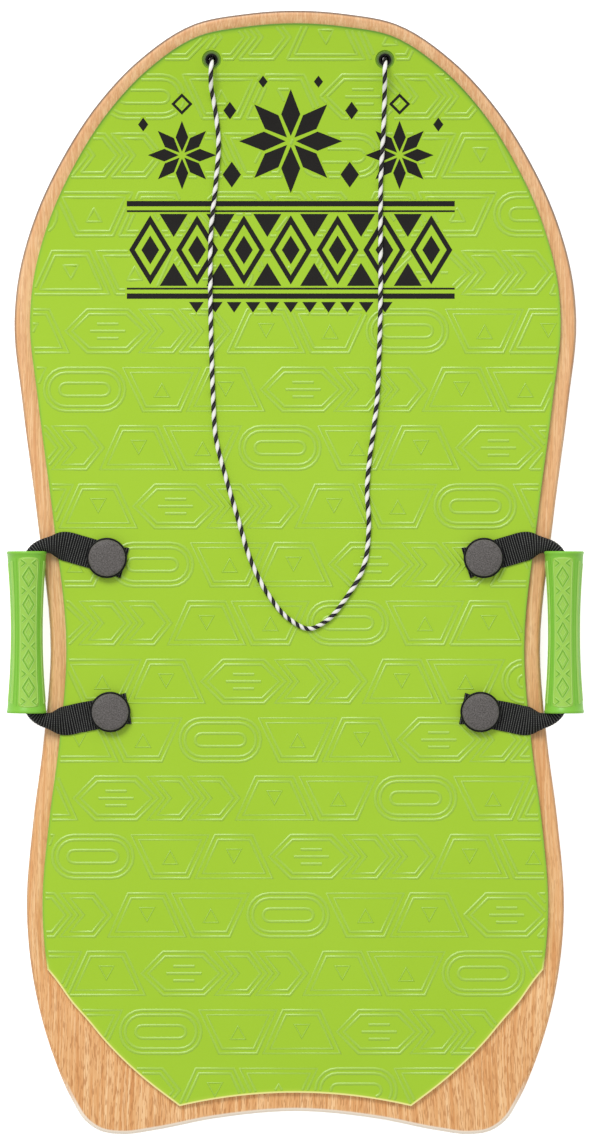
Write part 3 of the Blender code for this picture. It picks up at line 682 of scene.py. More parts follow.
# Holes through the board, used on every layer
anchor = {"front": (0.204656, 0.0170), "rear": (0.201056, -0.1502), "foot": -0.003, "sides": 48,
          "steps": ((0.0193, 0.0028), (0.0063, 0.0203), (0.0033, 0.045))}     # radius and top of each width
eyelet = {"bore": 0.0042, "wall": 0.001, "gap": 0.0003, "flangeRadius": 0.0067, "flangeTop": 0.0013,
          "depth": 0.03641, "washerRadius": 0.0090, "washerThick": 0.0015,
          "pressRadius": 0.0104, "pressFoot": 0.0089, "pressDepth": 0.0008,
          "cutFoot": -0.05, "cutTop": 0.01, "pressCutFoot": -0.02, "pressCutRise": 0.002,
          "sides": 48, "boreSides": 40}
eyeletWall = eyelet["bore"] + eyelet["wall"]
holeRadius = eyeletWall + eyelet["gap"]
anchorPlaces = [(endName, sideName, Vector((side * anchor[endName][0], anchor[endName][1])))
                for endName in ("front", "rear") for sideName, side in sides]


def cutterFrom(name, bm):
    cutter = makePiece(name, bm)
    cutter.hide_render = True
    return cutter


def steppedHole(foot, holeSteps):
    profile = [(0, foot)]
    for radius, top in holeSteps:
        profile += [(radius, profile[-1][1]), (radius, top)]
    return profile + [(0, profile[-1][1])]


anchorCut, boreCut, pressCut = bmesh.new(), bmesh.new(), bmesh.new()
for endName, sideName, centre in anchorPlaces:
    spinProfile(anchorCut, steppedHole(anchor["foot"], anchor["steps"]), anchor["sides"],
                Matrix.Translation((*centre, 0)))
pressFloor, low, rise = -eyelet["pressDepth"], eyelet["pressCutFoot"], eyelet["pressCutRise"]
pressProfile = [(0, low), (holeRadius, low), (holeRadius, pressFloor), (eyelet["pressFoot"], pressFloor),
                (eyelet["pressRadius"], 0), (eyelet["pressRadius"] + rise, rise), (0, rise)]
for sideName, side in sides:
    spinProfile(boreCut, steppedHole(eyelet["cutFoot"], [(holeRadius, eyelet["cutTop"])]),
                eyelet["boreSides"], holeFrame(side))
    spinProfile(pressCut, pressProfile, eyelet["sides"], holeFrame(side))
anchorCutter = cutterFrom("anchorHoles", anchorCut)
boreCutter, pressCutter = cutterFrom("ropeBores", boreCut), cutterFrom("ropePress", pressCut)

# Slick sheet, foam core and wood-grain skin
outline = wholeLoop(boardRightSide())
slickBm = slabFromOutline(insetLoop(outline, board["footChamfer"]), 0, board["slickTop"])
roundEdges(slickBm, 0, board["slickRound"], 2)
slick = boardLayer("slickSheet", slickBm, [slickMaterial()], (anchorCutter, boreCutter))
settle(slick, "board", "slick_sheet", "slick_bottom")

coreBm = slabFromOutline(insetLoop(outline, board["coreInset"]), board["skinFoot"], board["coreTop"])
roundEdges(coreBm, board["coreTop"], board["coreRound"], 3)
roundEdges(coreBm, board["skinFoot"], board["footChamfer"], 1)
coreFoam = foamMaterial("coreFoam", (222, 222, 216), (230, 230, 224), 0.85, 0.6)
core = boardLayer("foamCore", coreBm, [coreFoam], (anchorCutter, boreCutter))
settle(core, "board", "foam", "foam_core")

skinBm = slabFromOutline(outline, board["skinFoot"], board["skinTop"])
roundEdges(skinBm, board["skinTop"], board["railRadius"], 6)
roundEdges(skinBm, board["skinFoot"], board["footChamfer"], 3)
underside = min(skinBm.faces, key=lambda face: face.normal.z * face.calc_area())
bmesh.ops.delete(skinBm, geom=[underside], context="FACES_ONLY")
skin = boardLayer("woodSkin", skinBm, [woodFilmMaterial()], (anchorCutter, boreCutter), board["skinThick"])
settle(skin, "board", "wood_grain_film", "wood_skin")
print("slick sheet, foam core and skin")

# Deck pad: an embossed foam sheet, set in from the rim
deck = {
    "noseMargin": 0.0140, "sideMargin": 0.0174, "marginRun": 0.32, "cornerGap": 0.008,
    "bevel": 0.0006, "notch": 0.9626, "notchSteps": 14, "tailSteps": 6,
    "tail": ((0.882, 0.8526), (0.848, 0.8633), (0.798, 0.8811), (0.736, 0.8989),
             (0.677, 0.9167), (0.608, 0.9345), (0.528, 0.9523), (0.412, 0.9746)),
    # the pale colour for the tail's bevel is a painted highlight
    "foam": (162, 203, 36), "ridge": (156, 198, 38), "cutEdge": (255, 246, 176), "roughness": 0.4,
    "rimWidth": 0.006, "bareEdge": 0.0032,    # how wide the rim is, and how much of it has no ridges
    "line": 0.72, "eyeletShade": 0.7,         # rim share from which its line shows, and round the eyelets
    "tailStart": -0.425, "tailFade": 0.01, "noseFade": (0.34, 0.52),    # where the rim's colours change
}


def deckMargin(y):
    share = smoothStep((noseY - y) / (board["length"] * deck["marginRun"]))
    return blendValues(deck["noseMargin"], deck["sideMargin"], share)


def deckOutline():
    right = boardRightSide()
    inner = insetLoop(wholeLoop(right), deckMargin)[:len(right)]
    inner[0].x = 0
    tail = [planPoint(*shares) for shares in deck["tail"]]
    sideEnd = tail[0].y + board["length"] * deck["cornerGap"]
    side = [point for point in inner if point.y > sideEnd]
    edge = smoothThrough(tail, deck["tailSteps"], tail[0] * 2 - tail[1], tail[-1] * 2 - tail[-2])
    tip = tail[-1]
    notchY = noseY - board["length"] * deck["notch"]
    notch = []
    for step in range(1, deck["notchSteps"] + 1):
        share = 1 - step / deck["notchSteps"]
        notch.append(Vector((tip.x * share, blendValues(notchY, tip.y, share ** 2))))
    return wholeLoop(side + edge + notch)


def deckFoamMaterial(name, colour, specular):
    # lime foam; the attribute is 1 along the rim and fades over the rim's width, where painted shade and
    # painted highlight are laid
    # painted shade: the pressed tones darken the rim towards the nose and sides and round the eyelets;
    # painted highlight: the tail tones brighten it
    tone = screenColours(pressed=(118, 168, 44), pressedLine=(92, 140, 40), sidePressed=(156, 200, 44),
                         sideLine=(140, 190, 54), tailRim=(182, 212, 62), tailLine=(250, 238, 150))

    def withRim(tree, base):
        y = splitVector(tree, "ShaderNodeTexCoord", "Object")["Y"]
        tail, fade = deck["tailStart"], deck["tailFade"]
        atTail = rangeValue(tree, y, tail + fade, tail - fade)
        atNose = rangeValue(tree, y, *deck["noseFade"])
        rim = addNode(tree, "ShaderNodeAttribute", attribute_name="rim").outputs["Fac"]
        onLine = rangeValue(tree, rim, deck["line"], deck["line"] + 0.1)
        plain = mixColour(tree, atNose, tone["sidePressed"], tone["pressed"])
        lined = mixColour(tree, atNose, tone["sideLine"], tone["pressedLine"])
        front = mixColour(tree, onLine, plain, lined)
        back = mixColour(tree, onLine, tone["tailRim"], tone["tailLine"])
        return mixColour(tree, combine(tree, "POWER", rim, 1.6), base, mixColour(tree, atTail, front, back))

    red, green, blue = colour
    return foamMaterial(name, (red - 1, green - 1, blue - 2), (red + 1, green + 1, blue + 3),
                        deck["roughness"], 0.3, specular, withRim)


deckLoop = deckOutline()
deckBm = slabFromOutline(deckLoop, board["deckFoot"], board["deckTop"])
rounded = roundEdges(deckBm, board["deckTop"], deck["bevel"], 2)
roof = max(deckBm.faces, key=lambda face: face.normal.z * face.calc_area())
bmesh.ops.inset_region(deckBm, faces=[roof], thickness=deck["rimWidth"], use_even_offset=True)
rimLayer = deckBm.verts.layers.float.new("rim")
middleVerts = set(roof.verts)
for vert in deckBm.verts:
    vert[rimLayer] = 0 if vert in middleVerts else 1
# painted highlight: the bevel along the tail takes a pale foam colour
for face in rounded:
    face.material_index = int(face.calc_center_median().y < deck["tailStart"])
deckFoam = deckFoamMaterial("deckFoam", deck["foam"], 0.4)
cutFoam = foamMaterial("deckCutEdge", deck["cutEdge"], deck["cutEdge"], 0.6, 0.4)
deckPad = boardLayer("deckPad", deckBm, [deckFoam, cutFoam], (anchorCutter, pressCutter))
rimShares = deckPad.data.attributes["rim"].data
# painted shade: the rim colour is laid down the foam's slope round each eyelet
for vert in deckPad.data.vertices:    # the foam darkens down the slope round each eyelet
    for sideName, side in sides:
        if (holeFrame(side).inverted() @ vert.co).xy.length < eyelet["pressFoot"] + 0.0004:
            rimShares[vert.index].value = deck["eyeletShade"]
settle(deckPad, "board", "deck_foam", "deck_pad")
print("deck pad")

# Printed band across the nose: stars, lozenges and bars of flat black ink
ink = {
    "colour": (26, 24, 22), "lift": 0.00012, "left": -0.183, "right": 0.173, "middle": -0.005,
    "bandFoot": 0.2985, "bandTop": 0.4045, "heavy": 0.0058, "light": 0.0020, "gap": 0.0042, "clear": 0.002,
    "teeth": (-5, 6), "toothPitch": 0.0205, "toothGap": 0.0035, "toothHalf": 0.0080, "toothHeight": 0.0115,
    "middleStar": (0.4690, 0.0560), "sideStar": (0.1180, 0.4540, 0.0370),
    "lozenges": (                             # out from the middle, along, half width, half height, border
        (0.0640, 0.4330, 0.0100, 0.0140, 0), (0.0660, 0.5020, 0.0070, 0.0095, 0),
        (0.1180, 0.5090, 0.0115, 0.0115, 0.0028), (0.1600, 0.4870, 0.0055, 0.0075, 0),
        (0.0300, 0.5330, 0.0050, 0.0065, 0)),
}


def inkShape(bm, centre, corners, hollow=0):
    # a flat shape; hollow leaves only a border that wide
    face = bm.faces.new([bm.verts.new((centre[0] + x, centre[1] + y, 0)) for x, y in corners])
    if hollow:
        face.normal_update()
        bmesh.ops.inset_region(bm, faces=[face], thickness=hollow, use_boundary=True, use_even_offset=True)
        bmesh.ops.delete(bm, geom=[face], context="FACES_ONLY")


def inkLozenge(bm, centre, halfWidth, halfHeight, hollow=0):
    inkShape(bm, centre, ((-halfWidth, 0), (0, -halfHeight), (halfWidth, 0), (0, halfHeight)), hollow)


def inkBar(bm, left, right, foot, top):
    inkShape(bm, (0, 0), ((left, foot), (right, foot), (right, top), (left, top)))


def inkStar(bm, centre, radius):
    # eight separate petals, each a slim lozenge
    near, middle, wide = radius * 0.10, radius * 0.52, radius * 0.185
    for petal in range(8):
        angle = math.tau * petal / 8
        along = Vector((math.cos(angle), math.sin(angle)))
        across = Vector((-along.y, along.x)) * wide
        points = [along * near, along * middle - across, along * radius, along * middle + across]
        inkShape(bm, centre, [tuple(point) for point in points])


def printedBand():
    bm = bmesh.new()
    left, right, middle, foot, top = (ink[key] for key in ("left", "right", "middle", "bandFoot", "bandTop"))
    edge = ink["heavy"] + ink["gap"]
    for inset, thick in ((0, ink["heavy"]), (edge, ink["light"])):
        inkBar(bm, left, right, foot + inset, foot + inset + thick)
        inkBar(bm, left, right, top - inset - thick, top - inset)
    low, high = foot + edge + ink["light"] + ink["clear"], top - edge - ink["light"] - ink["clear"]
    pitch, tall, centreY = (right - left) / 7, high - low, (low + high) / 2
    for i in range(-3, 4):
        inkLozenge(bm, (middle + i * pitch, centreY), pitch * 0.45, tall * 0.48, 0.0052)
        inkLozenge(bm, (middle + i * pitch, centreY), pitch * 0.19, tall * 0.20)
    for i in range(-3, 3):
        x = middle + (i + 0.5) * pitch
        half, deep = pitch * 0.30, tall * 0.32
        inkShape(bm, (x, high), ((-half, 0), (0, -deep), (half, 0)))
        inkShape(bm, (x, low), ((-half, 0), (half, 0), (0, deep)))
    starY, starRadius = ink["middleStar"]
    inkStar(bm, (middle, starY), starRadius)
    starOut, starY, starRadius = ink["sideStar"]
    for sideName, side in sides:
        inkStar(bm, (middle + side * starOut, starY), starRadius)
        for out, y, halfWidth, halfHeight, border in ink["lozenges"]:
            inkLozenge(bm, (middle + side * out, y), halfWidth, halfHeight, border)
    for i in range(*ink["teeth"]):
        inkShape(bm, (middle + i * ink["toothPitch"], foot - ink["toothGap"]),
                 ((-ink["toothHalf"], 0), (0, -ink["toothHeight"]), (ink["toothHalf"], 0)))
    bmesh.ops.recalc_face_normals(bm, faces=bm.faces)
    for face in bm.faces:
        if face.normal.z < 0:
            face.normal_flip()
    return bm


inkBm = printedBand()
inkTree = BVHTree.FromBMesh(inkBm)
padBm = bmesh.new()
padBm.faces.new([padBm.verts.new((point.x, point.y, 0)) for point in insetLoop(deckLoop, deck["bareEdge"])])
bmesh.ops.triangulate(padBm, faces=padBm.faces)
padTree = BVHTree.FromBMesh(padBm)
padBm.free()
bendOverNose(inkBm)
bmesh.ops.translate(inkBm, verts=inkBm.verts, vec=(0, 0, board["deckTop"] + ink["lift"]))
inkPaint = mouldedMaterial("blackInk", ink["colour"], 0.6, 3, 900, 0.2, specular=0.15)
settle(makePiece("deckPrint", inkBm, inkPaint), "board", "deck_foam")
print("printed band")

# Embossed tread: rows of double-lined figures, cut off at the pad's edge
emboss = {
    "firstTop": -0.5376, "pitch": 0.06343, "rows": 19, "height": 0.047, "doubleGap": 0.0052,
    "stagger": 0.377, "space": 0.0068, "sample": 0.002, "noseStep": 0.012,
    "order": ("lozenge", "chevron", "chevron", "wedgeUp", "wedgeDown", "capsule", "wedgeDown", "wedgeUp"),
    "wide": {"lozenge": 0.092, "capsule": 0.088, "chevron": 0.056, "wedgeUp": 0.084, "wedgeDown": 0.084},
    "bars": ((-0.0078, 0.0115), (0, 0.0190), (0.0078, 0.0115)),     # a lozenge's bars: height, half width
    "capsuleInset": 0.0165, "chevronSlant": 0.8, "wedgeSlant": 0.0215,
    "markHalf": 0.008, "markUp": (0.0315, 0.0170), "markDown": (0.0155, 0.0300),
    "inkGap": 0.0020, "holeGap": 0.0125, "shortest": 0.006,         # what ridges keep clear, and leave out
    "halvings": 7,                    # how often a ridge is halved to find where it meets the print
    "ridge": ((-0.00185, -0.0003), (-0.00175, 0.0), (-0.0011, 0.00025), (-0.0004, 0.00055), (0.0, 0.00061),
              (0.0004, 0.00055), (0.0011, 0.00025), (0.00175, 0.0), (0.00185, -0.0003)),
}


def isBare(point):
    # bare foam, clear of the pad's edge, the rope holes and the print
    if padTree.ray_cast((point.x, point.y, 1), (0, 0, -1))[0] is None:
        return False
    if any((point - holeFrame(side).translation.xy).length < emboss["holeGap"] for sideName, side in sides):
        return False
    return inkTree.find_nearest((point.x, point.y, 0))[3] > emboss["inkGap"]


def borderBetween(here, there):
    # the last bare spot from here to there
    for step in range(emboss["halvings"]):
        middle = (here + there) / 2
        if isBare(middle):
            here = middle
        else:
            there = middle
    return here


def ridgeRuns(line):
    # cuts a figure's line into its runs on bare foam, with closer points where the nose bends
    dense = []
    for start, end in zip(line, line[1:]):
        steps = max(1, math.ceil((end - start).length / emboss["sample"]))
        dense += [(start.lerp(end, i / steps), i == 0) for i in range(steps)]
    dense.append((line[-1], True))
    runs, current, lastKept = [], None, None
    for i, (point, corner) in enumerate(dense):
        bare = isBare(point)
        if current and not bare:
            runs.append(current + [borderBetween(dense[i - 1][0], point)])
            current = None
        elif bare and not current:
            current = ([borderBetween(point, dense[i - 1][0])] if i else []) + [point]
            lastKept = point
        elif bare and (corner or point.y > bendStart and (point - lastKept).length > emboss["noseStep"]):
            current.append(point)
            lastKept = point
    if current:
        runs.append(current)
    return [run for run in runs if lineLength(run) > emboss["shortest"]]


def figure(kind):
    # a clockwise outline, then the closed and the open lines inside it
    high, half, wide = emboss["height"], emboss["height"] / 2, emboss["wide"][kind]
    middle = wide / 2
    if kind == "lozenge":
        bars = [[(middle - out, half + rise), (middle + out, half + rise)] for rise, out in emboss["bars"]]
        return ([(0, half), (half, high), (wide - half, high), (wide, half), (wide - half, 0), (half, 0)],
                [], bars)
    if kind == "capsule":
        turns = [math.pi * i / 10 for i in range(11)]
        left = [(half - half * math.sin(turn), half - half * math.cos(turn)) for turn in turns]
        right = [(wide - half + half * math.sin(turn), half + half * math.cos(turn)) for turn in turns]
        inner = insetLoop([Vector(point) for point in left + right], emboss["capsuleInset"])
        return left + right, [inner], []
    if kind == "chevron":
        slant = half * emboss["chevronSlant"]
        return ([(0, 0), (slant, half), (0, high), (wide - slant, high), (wide, half), (wide - slant, 0)],
                [], [])
    slant, before, after = emboss["wedgeSlant"], middle - emboss["markHalf"], middle + emboss["markHalf"]
    if kind == "wedgeUp":
        base, tip = emboss["markUp"]
        return ([(0, 0), (slant, high), (wide - slant, high), (wide, 0)],
                [[(before, base), (after, base), (middle, tip)]], [])
    base, tip = emboss["markDown"]
    return ([(slant, 0), (0, high), (wide, high), (wide - slant, 0)],
            [[(before, base), (middle, tip), (after, base)]], [])


def spanAt(outline, y):
    # the outline's lowest and highest x at one height
    crossed = []
    for (x1, y1), (x2, y2) in zip(outline, outline[1:] + outline[:1]):
        if min(y1, y2) <= y <= max(y1, y2) and y1 != y2:
            crossed.append(x1 + (x2 - x1) * (y - y1) / (y2 - y1))
    return min(crossed), max(crossed)


def embossCycle():
    # each figure's place in a row, nested into the one before it
    levels = [emboss["height"] * share for share in (0.01, 0.25, 0.5, 0.75, 0.99)]
    order = emboss["order"]
    places = [0]
    for before, after in zip(order, order[1:] + order[:1]):
        room = [spanAt(figure(before)[0], y)[1] - spanAt(figure(after)[0], y)[0] for y in levels]
        places.append(places[-1] + max(room) + emboss["space"])
    return places[:-1], places[-1]


def ringOf(points):
    return points + points[:1]


def embossRow(top, shift):
    places, cycle = embossCycle()
    lines = []
    start = -board["width"] / 2 - shift * cycle
    while start < board["width"] / 2:
        for kind, place in zip(emboss["order"], places):
            outline, closed, opened = figure(kind)
            corner = Vector((start + place, top - emboss["height"]))
            loop = [corner + Vector(point) for point in outline]
            lines += [ringOf(loop), ringOf(insetLoop(loop, emboss["doubleGap"]))]
            lines += [ringOf([corner + Vector(point) for point in inner]) for inner in closed]
            lines += [[corner + Vector(point) for point in inner] for inner in opened]
        start += cycle
    return lines


ridges = []
for row in range(emboss["rows"]):
    for line in embossRow(emboss["firstTop"] + emboss["pitch"] * row, row * emboss["stagger"] % 1):
        ridges += ridgeRuns(line)
ridgeLines = [[Vector((point.x, point.y, board["deckTop"] + noseLift(point.y))) for point in run]
              for run in ridges]
ridgeFoam = deckFoamMaterial("ridgeFoam", deck["ridge"], 0.9)
tread = sweptPiece("treadRidges", ridgeLines, ridgeFoam, flatSection("ridge", emboss["ridge"]), twist="Z_UP")
settle(tread, "board", "deck_foam")
print("tread", len(ridges), "ridges")

# Webbing: one ribbed strap a side, tab to tab through the grip
strap = {
    "width": 0.032, "thick": 0.002, "roll": math.radians(282), "tabReach": 0.0204, "foldX": 0.236856,
    "flare": 0.07, "flareReach": 0.009,       # how much the cut ends spread, and over what length
    "tilt": {"front": math.radians(16), "rear": math.radians(11)}, "footZ": 0.0377,
    "ribPitch": 0.0026, "ribDepth": 0.00042, "ribSamples": 4, "yarnPitch": 0.0021, "acrossCount": 14,
    "edgeRound": 0.0003, "edgeShare": 0.05,   # how far the sides thin, and over what share of the width
    "flatReach": 0.016, "swingBend": (-0.004, 0.010),         # past the button, and round the fold's bend
    "armSteps": 12, "armLead": 0.01,          # steps between marks, and how straight it goes on in the grip
    "liftWeight": 0.006, "rollWeight": 0.03,  # metres that a whole lift and roll count for on the curve
    "arm": (   # outboard share, forward share of the width, edge lift and roll
        (0.146, 0.226, 0.0, 0.070), (0.292, 0.262, 0.0, 0.244), (0.438, 0.272, 0.1, 0.540),
        (0.566, 0.252, 0.3, 0.800), (0.675, 0.206, 0.6, 0.920), (0.766, 0.134, 0.8, 0.980),
        (0.848, 0.012, 1.0, 1.0), (0.913, -0.160, 1.0, 1.0), (0.960, -0.364, 1.0, 1.0),
        (0.989, -0.573, 1.0, 1.0), (1.000, -0.823, 1.0, 1.0), (1.000, -1.1, 1.0, 1.0)),
    "armStart": 0.167,                        # forward share at the fold that the arm's shares count on
}
grip = {
    "length": 0.176, "centreY": -0.0636, "axisX": 0.291656, "axisZ": 0.044591,
    "endRadius": 0.0217, "waistRadius": 0.0170, "lipLength": 0.0032, "lipStep": 0.0001,
    "mouthRadius": 0.0200, "boreRadius": 0.0082, "bellDepth": 0.026, "sides": 96,
    "turn": {"left": math.radians(8), "right": math.radians(-6)},
    "colour": (130, 197, 62), "bandColour": (156, 204, 80),
    # pale ridge green as painted highlight, dark line green as painted shade
    "lineColour": (174, 218, 110), "grooveColour": (122, 186, 58),
    "bandArc": 0.0104, "bandEnd": 0.0822, "bandCorner": 0.006, "bandRise": 0.0004, "bandSink": 0.001,
    "profileSteps": 14, "bellShares": (0.08, 0.16, 0.26, 0.38, 0.52, 0.7, 0.85, 1.0),
    "lineRadius": 0.0006, "lineStep": 0.004,
    # lines along the grip: distance round from its top, and half length
    "ridges": ((0.0170, 0.0775), (0.0186, 0.0770), (0.0240, 0.0755), (0.0262, 0.0745),
               (0.0320, 0.0745), (0.0380, 0.0760), (0.0440, 0.0775), (0.0500, 0.0785)),
    # dark lines painted as shade: distance round from its top, and half length
    "grooves": ((0.0118, 0.0800), (0.0152, 0.0775)),
    # the panel's row: half width and half height of each lozenge, start and reach of the lines between
    "rowPitch": 0.0300, "lozenges": ((0.0068, 0.0126), (0.0056, 0.0104), (0.0032, 0.0059)),
    "between": (0.0020, 0.0033), "betweenReach": 0.0068,
    "border": (0.0016, 0.0020, 0.0045),       # in from the panel's sides and ends, and its cut corners
}


def strapHalf(endName, end):
    # centre line in plan with the edge's lift and the roll, from a button into the grip
    centre = Vector((anchor[endName][0], end * (anchor[endName][1] - grip["centreY"])))
    along = Vector((math.cos(strap["tilt"][endName]), math.sin(strap["tilt"][endName])))
    fold = centre + along * ((strap["foldX"] - centre.x) / along.x)
    mouthY = grip["length"] / 2
    drift = (fold.y - mouthY) / strap["width"] - strap["armStart"]
    marks = [Vector((*(centre + along * reach), 0, 0))
             for reach in (-strap["tabReach"], 0, strap["flatReach"])]
    marks.append(Vector((*fold, 0, 0)))
    for outboard, forward, lift, roll in strap["arm"]:
        ahead = strap["width"] * (forward + drift * (1 - outboard))
        marks.append(Vector((blendValues(strap["foldX"], grip["axisX"], outboard), mouthY + ahead,
                             lift * strap["liftWeight"], roll * strap["rollWeight"])))
    half = smoothThrough(marks, strap["armSteps"], marks[0] * 2 - marks[1],
                         marks[-1] - Vector((0, strap["armLead"], 0, 0)))
    return [Vector((mark.x, grip["centreY"] + end * mark.y, mark.z, mark.w)) for mark in half]


def strapPoint(stations, travelled, goal, across, depth):
    low, high = 0, len(stations) - 1
    while high - low > 1:
        middle = (low + high) // 2
        if travelled[middle] <= goal:
            low = middle
        else:
            high = middle
    share = min(1, max(0, (goal - travelled[low]) / (travelled[high] - travelled[low])))
    here = stations[low].lerp(stations[high], share)
    ahead = stations[min(high + 1, len(stations) - 1)] - stations[max(low - 1, 0)]
    along = Vector((ahead.x, ahead.y)).normalized()
    side = Vector((-along.y, along.x))
    roll = here.w / strap["rollWeight"] * strap["roll"]
    flatZ = strap["footZ"] + strap["thick"] / 2
    rolledZ = grip["axisZ"] + strap["width"] / strap["roll"] * math.cos(strap["roll"] / 2)
    angle = roll * across
    if roll > 0.01:
        radius = strap["width"] / roll
        out, rise = radius * math.sin(angle), radius * (math.cos(angle) - math.cos(roll / 2))
    else:
        out, rise = strap["width"] * across, 0
    out += depth * math.sin(angle)
    rise += depth * math.cos(angle) + blendValues(flatZ, rolledZ, here.z / strap["liftWeight"])
    return Vector((here.x - side.x * out, here.y - side.y * out, rise))


def webbingStrap(sideName, side, material):
    stations = strapHalf("front", 1) + strapHalf("rear", -1)[::-1]
    travelled = travelledTo([station.xy for station in stations])
    total = travelled[-1]
    bm = raisedGrid(round(total / strap["ribPitch"]) * strap["ribSamples"], strap["acrossCount"], 0.5)
    uvLayer = bm.loops.layers.uv.new("UVMap")
    for face in bm.faces:
        for loop in face.loops:
            loop[uvLayer].uv = ((loop.vert.co.x + 0.5) * total, loop.vert.co.y * strap["width"])
    for vert in bm.verts:
        goal = (vert.co.x + 0.5) * total
        rib = (1 - math.cos(math.tau * goal / strap["ribPitch"])) / 2
        edge = smoothStep((0.5 - abs(vert.co.y)) / strap["edgeShare"])
        depth = (strap["thick"] / 2 - strap["ribDepth"] * rib * (0.4 + 0.6 * edge)
                 - strap["edgeRound"] * (1 - edge))
        spread = 1 + strap["flare"] * smoothStep(1 - min(goal, total - goal) / strap["flareReach"])
        depth = depth if vert.co.z > 0.5 else -depth
        place = strapPoint(stations, travelled, goal, vert.co.y * spread, depth)
        vert.co = (side * place.x, place.y, place.z)
    faceOutwards(bm)
    piece = makePiece(sideName + "Webbing", bm, material, sharpAngle=70)
    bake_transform(piece)
    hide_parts(sideName + "_strap", "strap_end_front_" + sideName, "strap_end_rear_" + sideName)


webbing = webbingMaterial()
for sideName, side in sides:
    webbingStrap(sideName, side, webbing)
print("webbing")

# Grips: a waisted moulding with a bell mouth at each end, and raised lines along it; the pale lines carry a
# painted highlight, the dark ones are painted shade


def gripRadius(y):
    share = min(1, abs(y) / (grip["length"] / 2))
    return blendValues(grip["waistRadius"], grip["endRadius"] - grip["lipStep"], share ** 2)


def gripProfile():
    half, end, mouth, steps = grip["length"] / 2, grip["endRadius"], grip["mouthRadius"], grip["profileSteps"]
    lip = half - grip["lipLength"]
    profile = [(gripRadius(lip * i / steps), lip * i / steps) for i in range(steps + 1)]
    profile += [(end - 0.0002, lip + 0.0002), (end, lip + 0.0008), (end, half - 0.0012),
                (end - 0.0004, half - 0.0004), (end - 0.0012, half), (mouth + 0.0006, half),
                (mouth, half - 0.0006)]
    for share in grip["bellShares"]:
        radius = blendValues(grip["boreRadius"], mouth, (1 - share) ** 1.3)
        profile.append((radius, half - grip["bellDepth"] * share))
    return [(radius, -height) for radius, height in profile[:0:-1]] + profile


def gripPlacing(sideName, side):
    return (Matrix.Translation((side * grip["axisX"], grip["centreY"], grip["axisZ"]))
            @ Matrix.Rotation(grip["turn"][sideName], 4, "Y"))


def gripPoint(arc, y, sink=0.0):
    # arc is the distance round the grip from its top, at its waist
    radius = gripRadius(y) - sink
    angle = arc / grip["waistRadius"]
    return Vector((radius * math.sin(angle), y, radius * math.cos(angle)))


def gripBand(sideName, side, material):
    # a raised panel along the grip's crown, its edge sunk into the moulding; its paler green is a painted
    # highlight
    placing = gripPlacing(sideName, side)
    bm = raisedGrid(16, 80, 1)
    corner, wide = grip["bandCorner"], grip["bandArc"] - grip["bandCorner"]
    for vert in bm.verts:
        y = vert.co.y * grip["bandEnd"]
        past = max(0, abs(y) - (grip["bandEnd"] - corner))
        arc = vert.co.x * (wide + math.sqrt(max(0, corner ** 2 - past ** 2)))
        border = max(abs(vert.co.x), abs(vert.co.y)) > 0.999
        sink = 0.0002 if border else -grip["bandRise"]
        vert.co = placing @ gripPoint(arc, y, sink if vert.co.z > 0.5 else grip["bandSink"])
    faceOutwards(bm)
    band = makePiece(sideName + "GripBand", bm, material, sharpAngle=80)
    settle(band, sideName + "_grip_body", "grip_rubber")


def gripLines():
    # (distance round, distance along) corners, whether closed, and how deep each line lies
    ridges, grooves = [], []
    onBand = -grip["bandRise"]
    for direction in (-1, 1):
        for table, depth, lines in ((grip["ridges"], 0.0001, ridges), (grip["grooves"], 0.0003, grooves)):
            for arc, end in table:
                lines.append((((direction * arc, -end), (direction * arc, end)), False, depth))
    for i in range(-2, 3):
        y = i * grip["rowPitch"]
        for (arc, end), lines in zip(grip["lozenges"], (ridges, grooves, ridges)):
            lines.append((((-arc, y), (0, y + end), (arc, y), (0, y - end)), True, onBand))
    reach = grip["betweenReach"]
    for i in range(-3, 3):
        y = (i + 0.5) * grip["rowPitch"]
        for direction in (-1, 1):
            for inner, lines in zip(grip["between"], (ridges, grooves)):
                lines.append((((direction * reach, y - reach + inner), (direction * inner, y),
                               (direction * reach, y + reach - inner)), False, onBand))
    sideInset, endInset, cut = grip["border"]
    wide, long = grip["bandArc"] - sideInset, grip["bandEnd"] - endInset
    ridges.append((((-wide, -long + cut), (-wide, long - cut), (-wide + cut, long), (wide - cut, long),
                    (wide, long - cut), (wide, -long + cut), (wide - cut, -long), (-wide + cut, -long)),
                   True, onBand + 0.0002))
    return ridges, grooves


def gripRelief(name, sideName, side, lines, material):
    placing = gripPlacing(sideName, side)
    tubes = []
    for corners, closed, depth in lines:
        marks = [Vector(mark) for mark in corners]
        if closed:
            marks.append(marks[0])
        line = []
        for start, end in zip(marks, marks[1:]):
            steps = max(1, math.ceil((end - start).length / grip["lineStep"]))
            line += [start.lerp(end, i / steps) for i in range(steps)]
        tubes.append([placing @ gripPoint(point.x, point.y, depth) for point in line + [marks[-1]]])
    relief = sweptPiece(sideName + name, tubes, material, depth=grip["lineRadius"])
    settle(relief, sideName + "_grip_body", "grip_rubber")


gripRubber = mouldedMaterial("gripRubber", grip["colour"], 0.38, 4, 1300, 0.25, specular=0.35)
# painted highlight: the band's paler rubber
bandRubber = mouldedMaterial("gripBandRubber", grip["bandColour"], 0.42, 5, 1600, 0.5, specular=0.35)
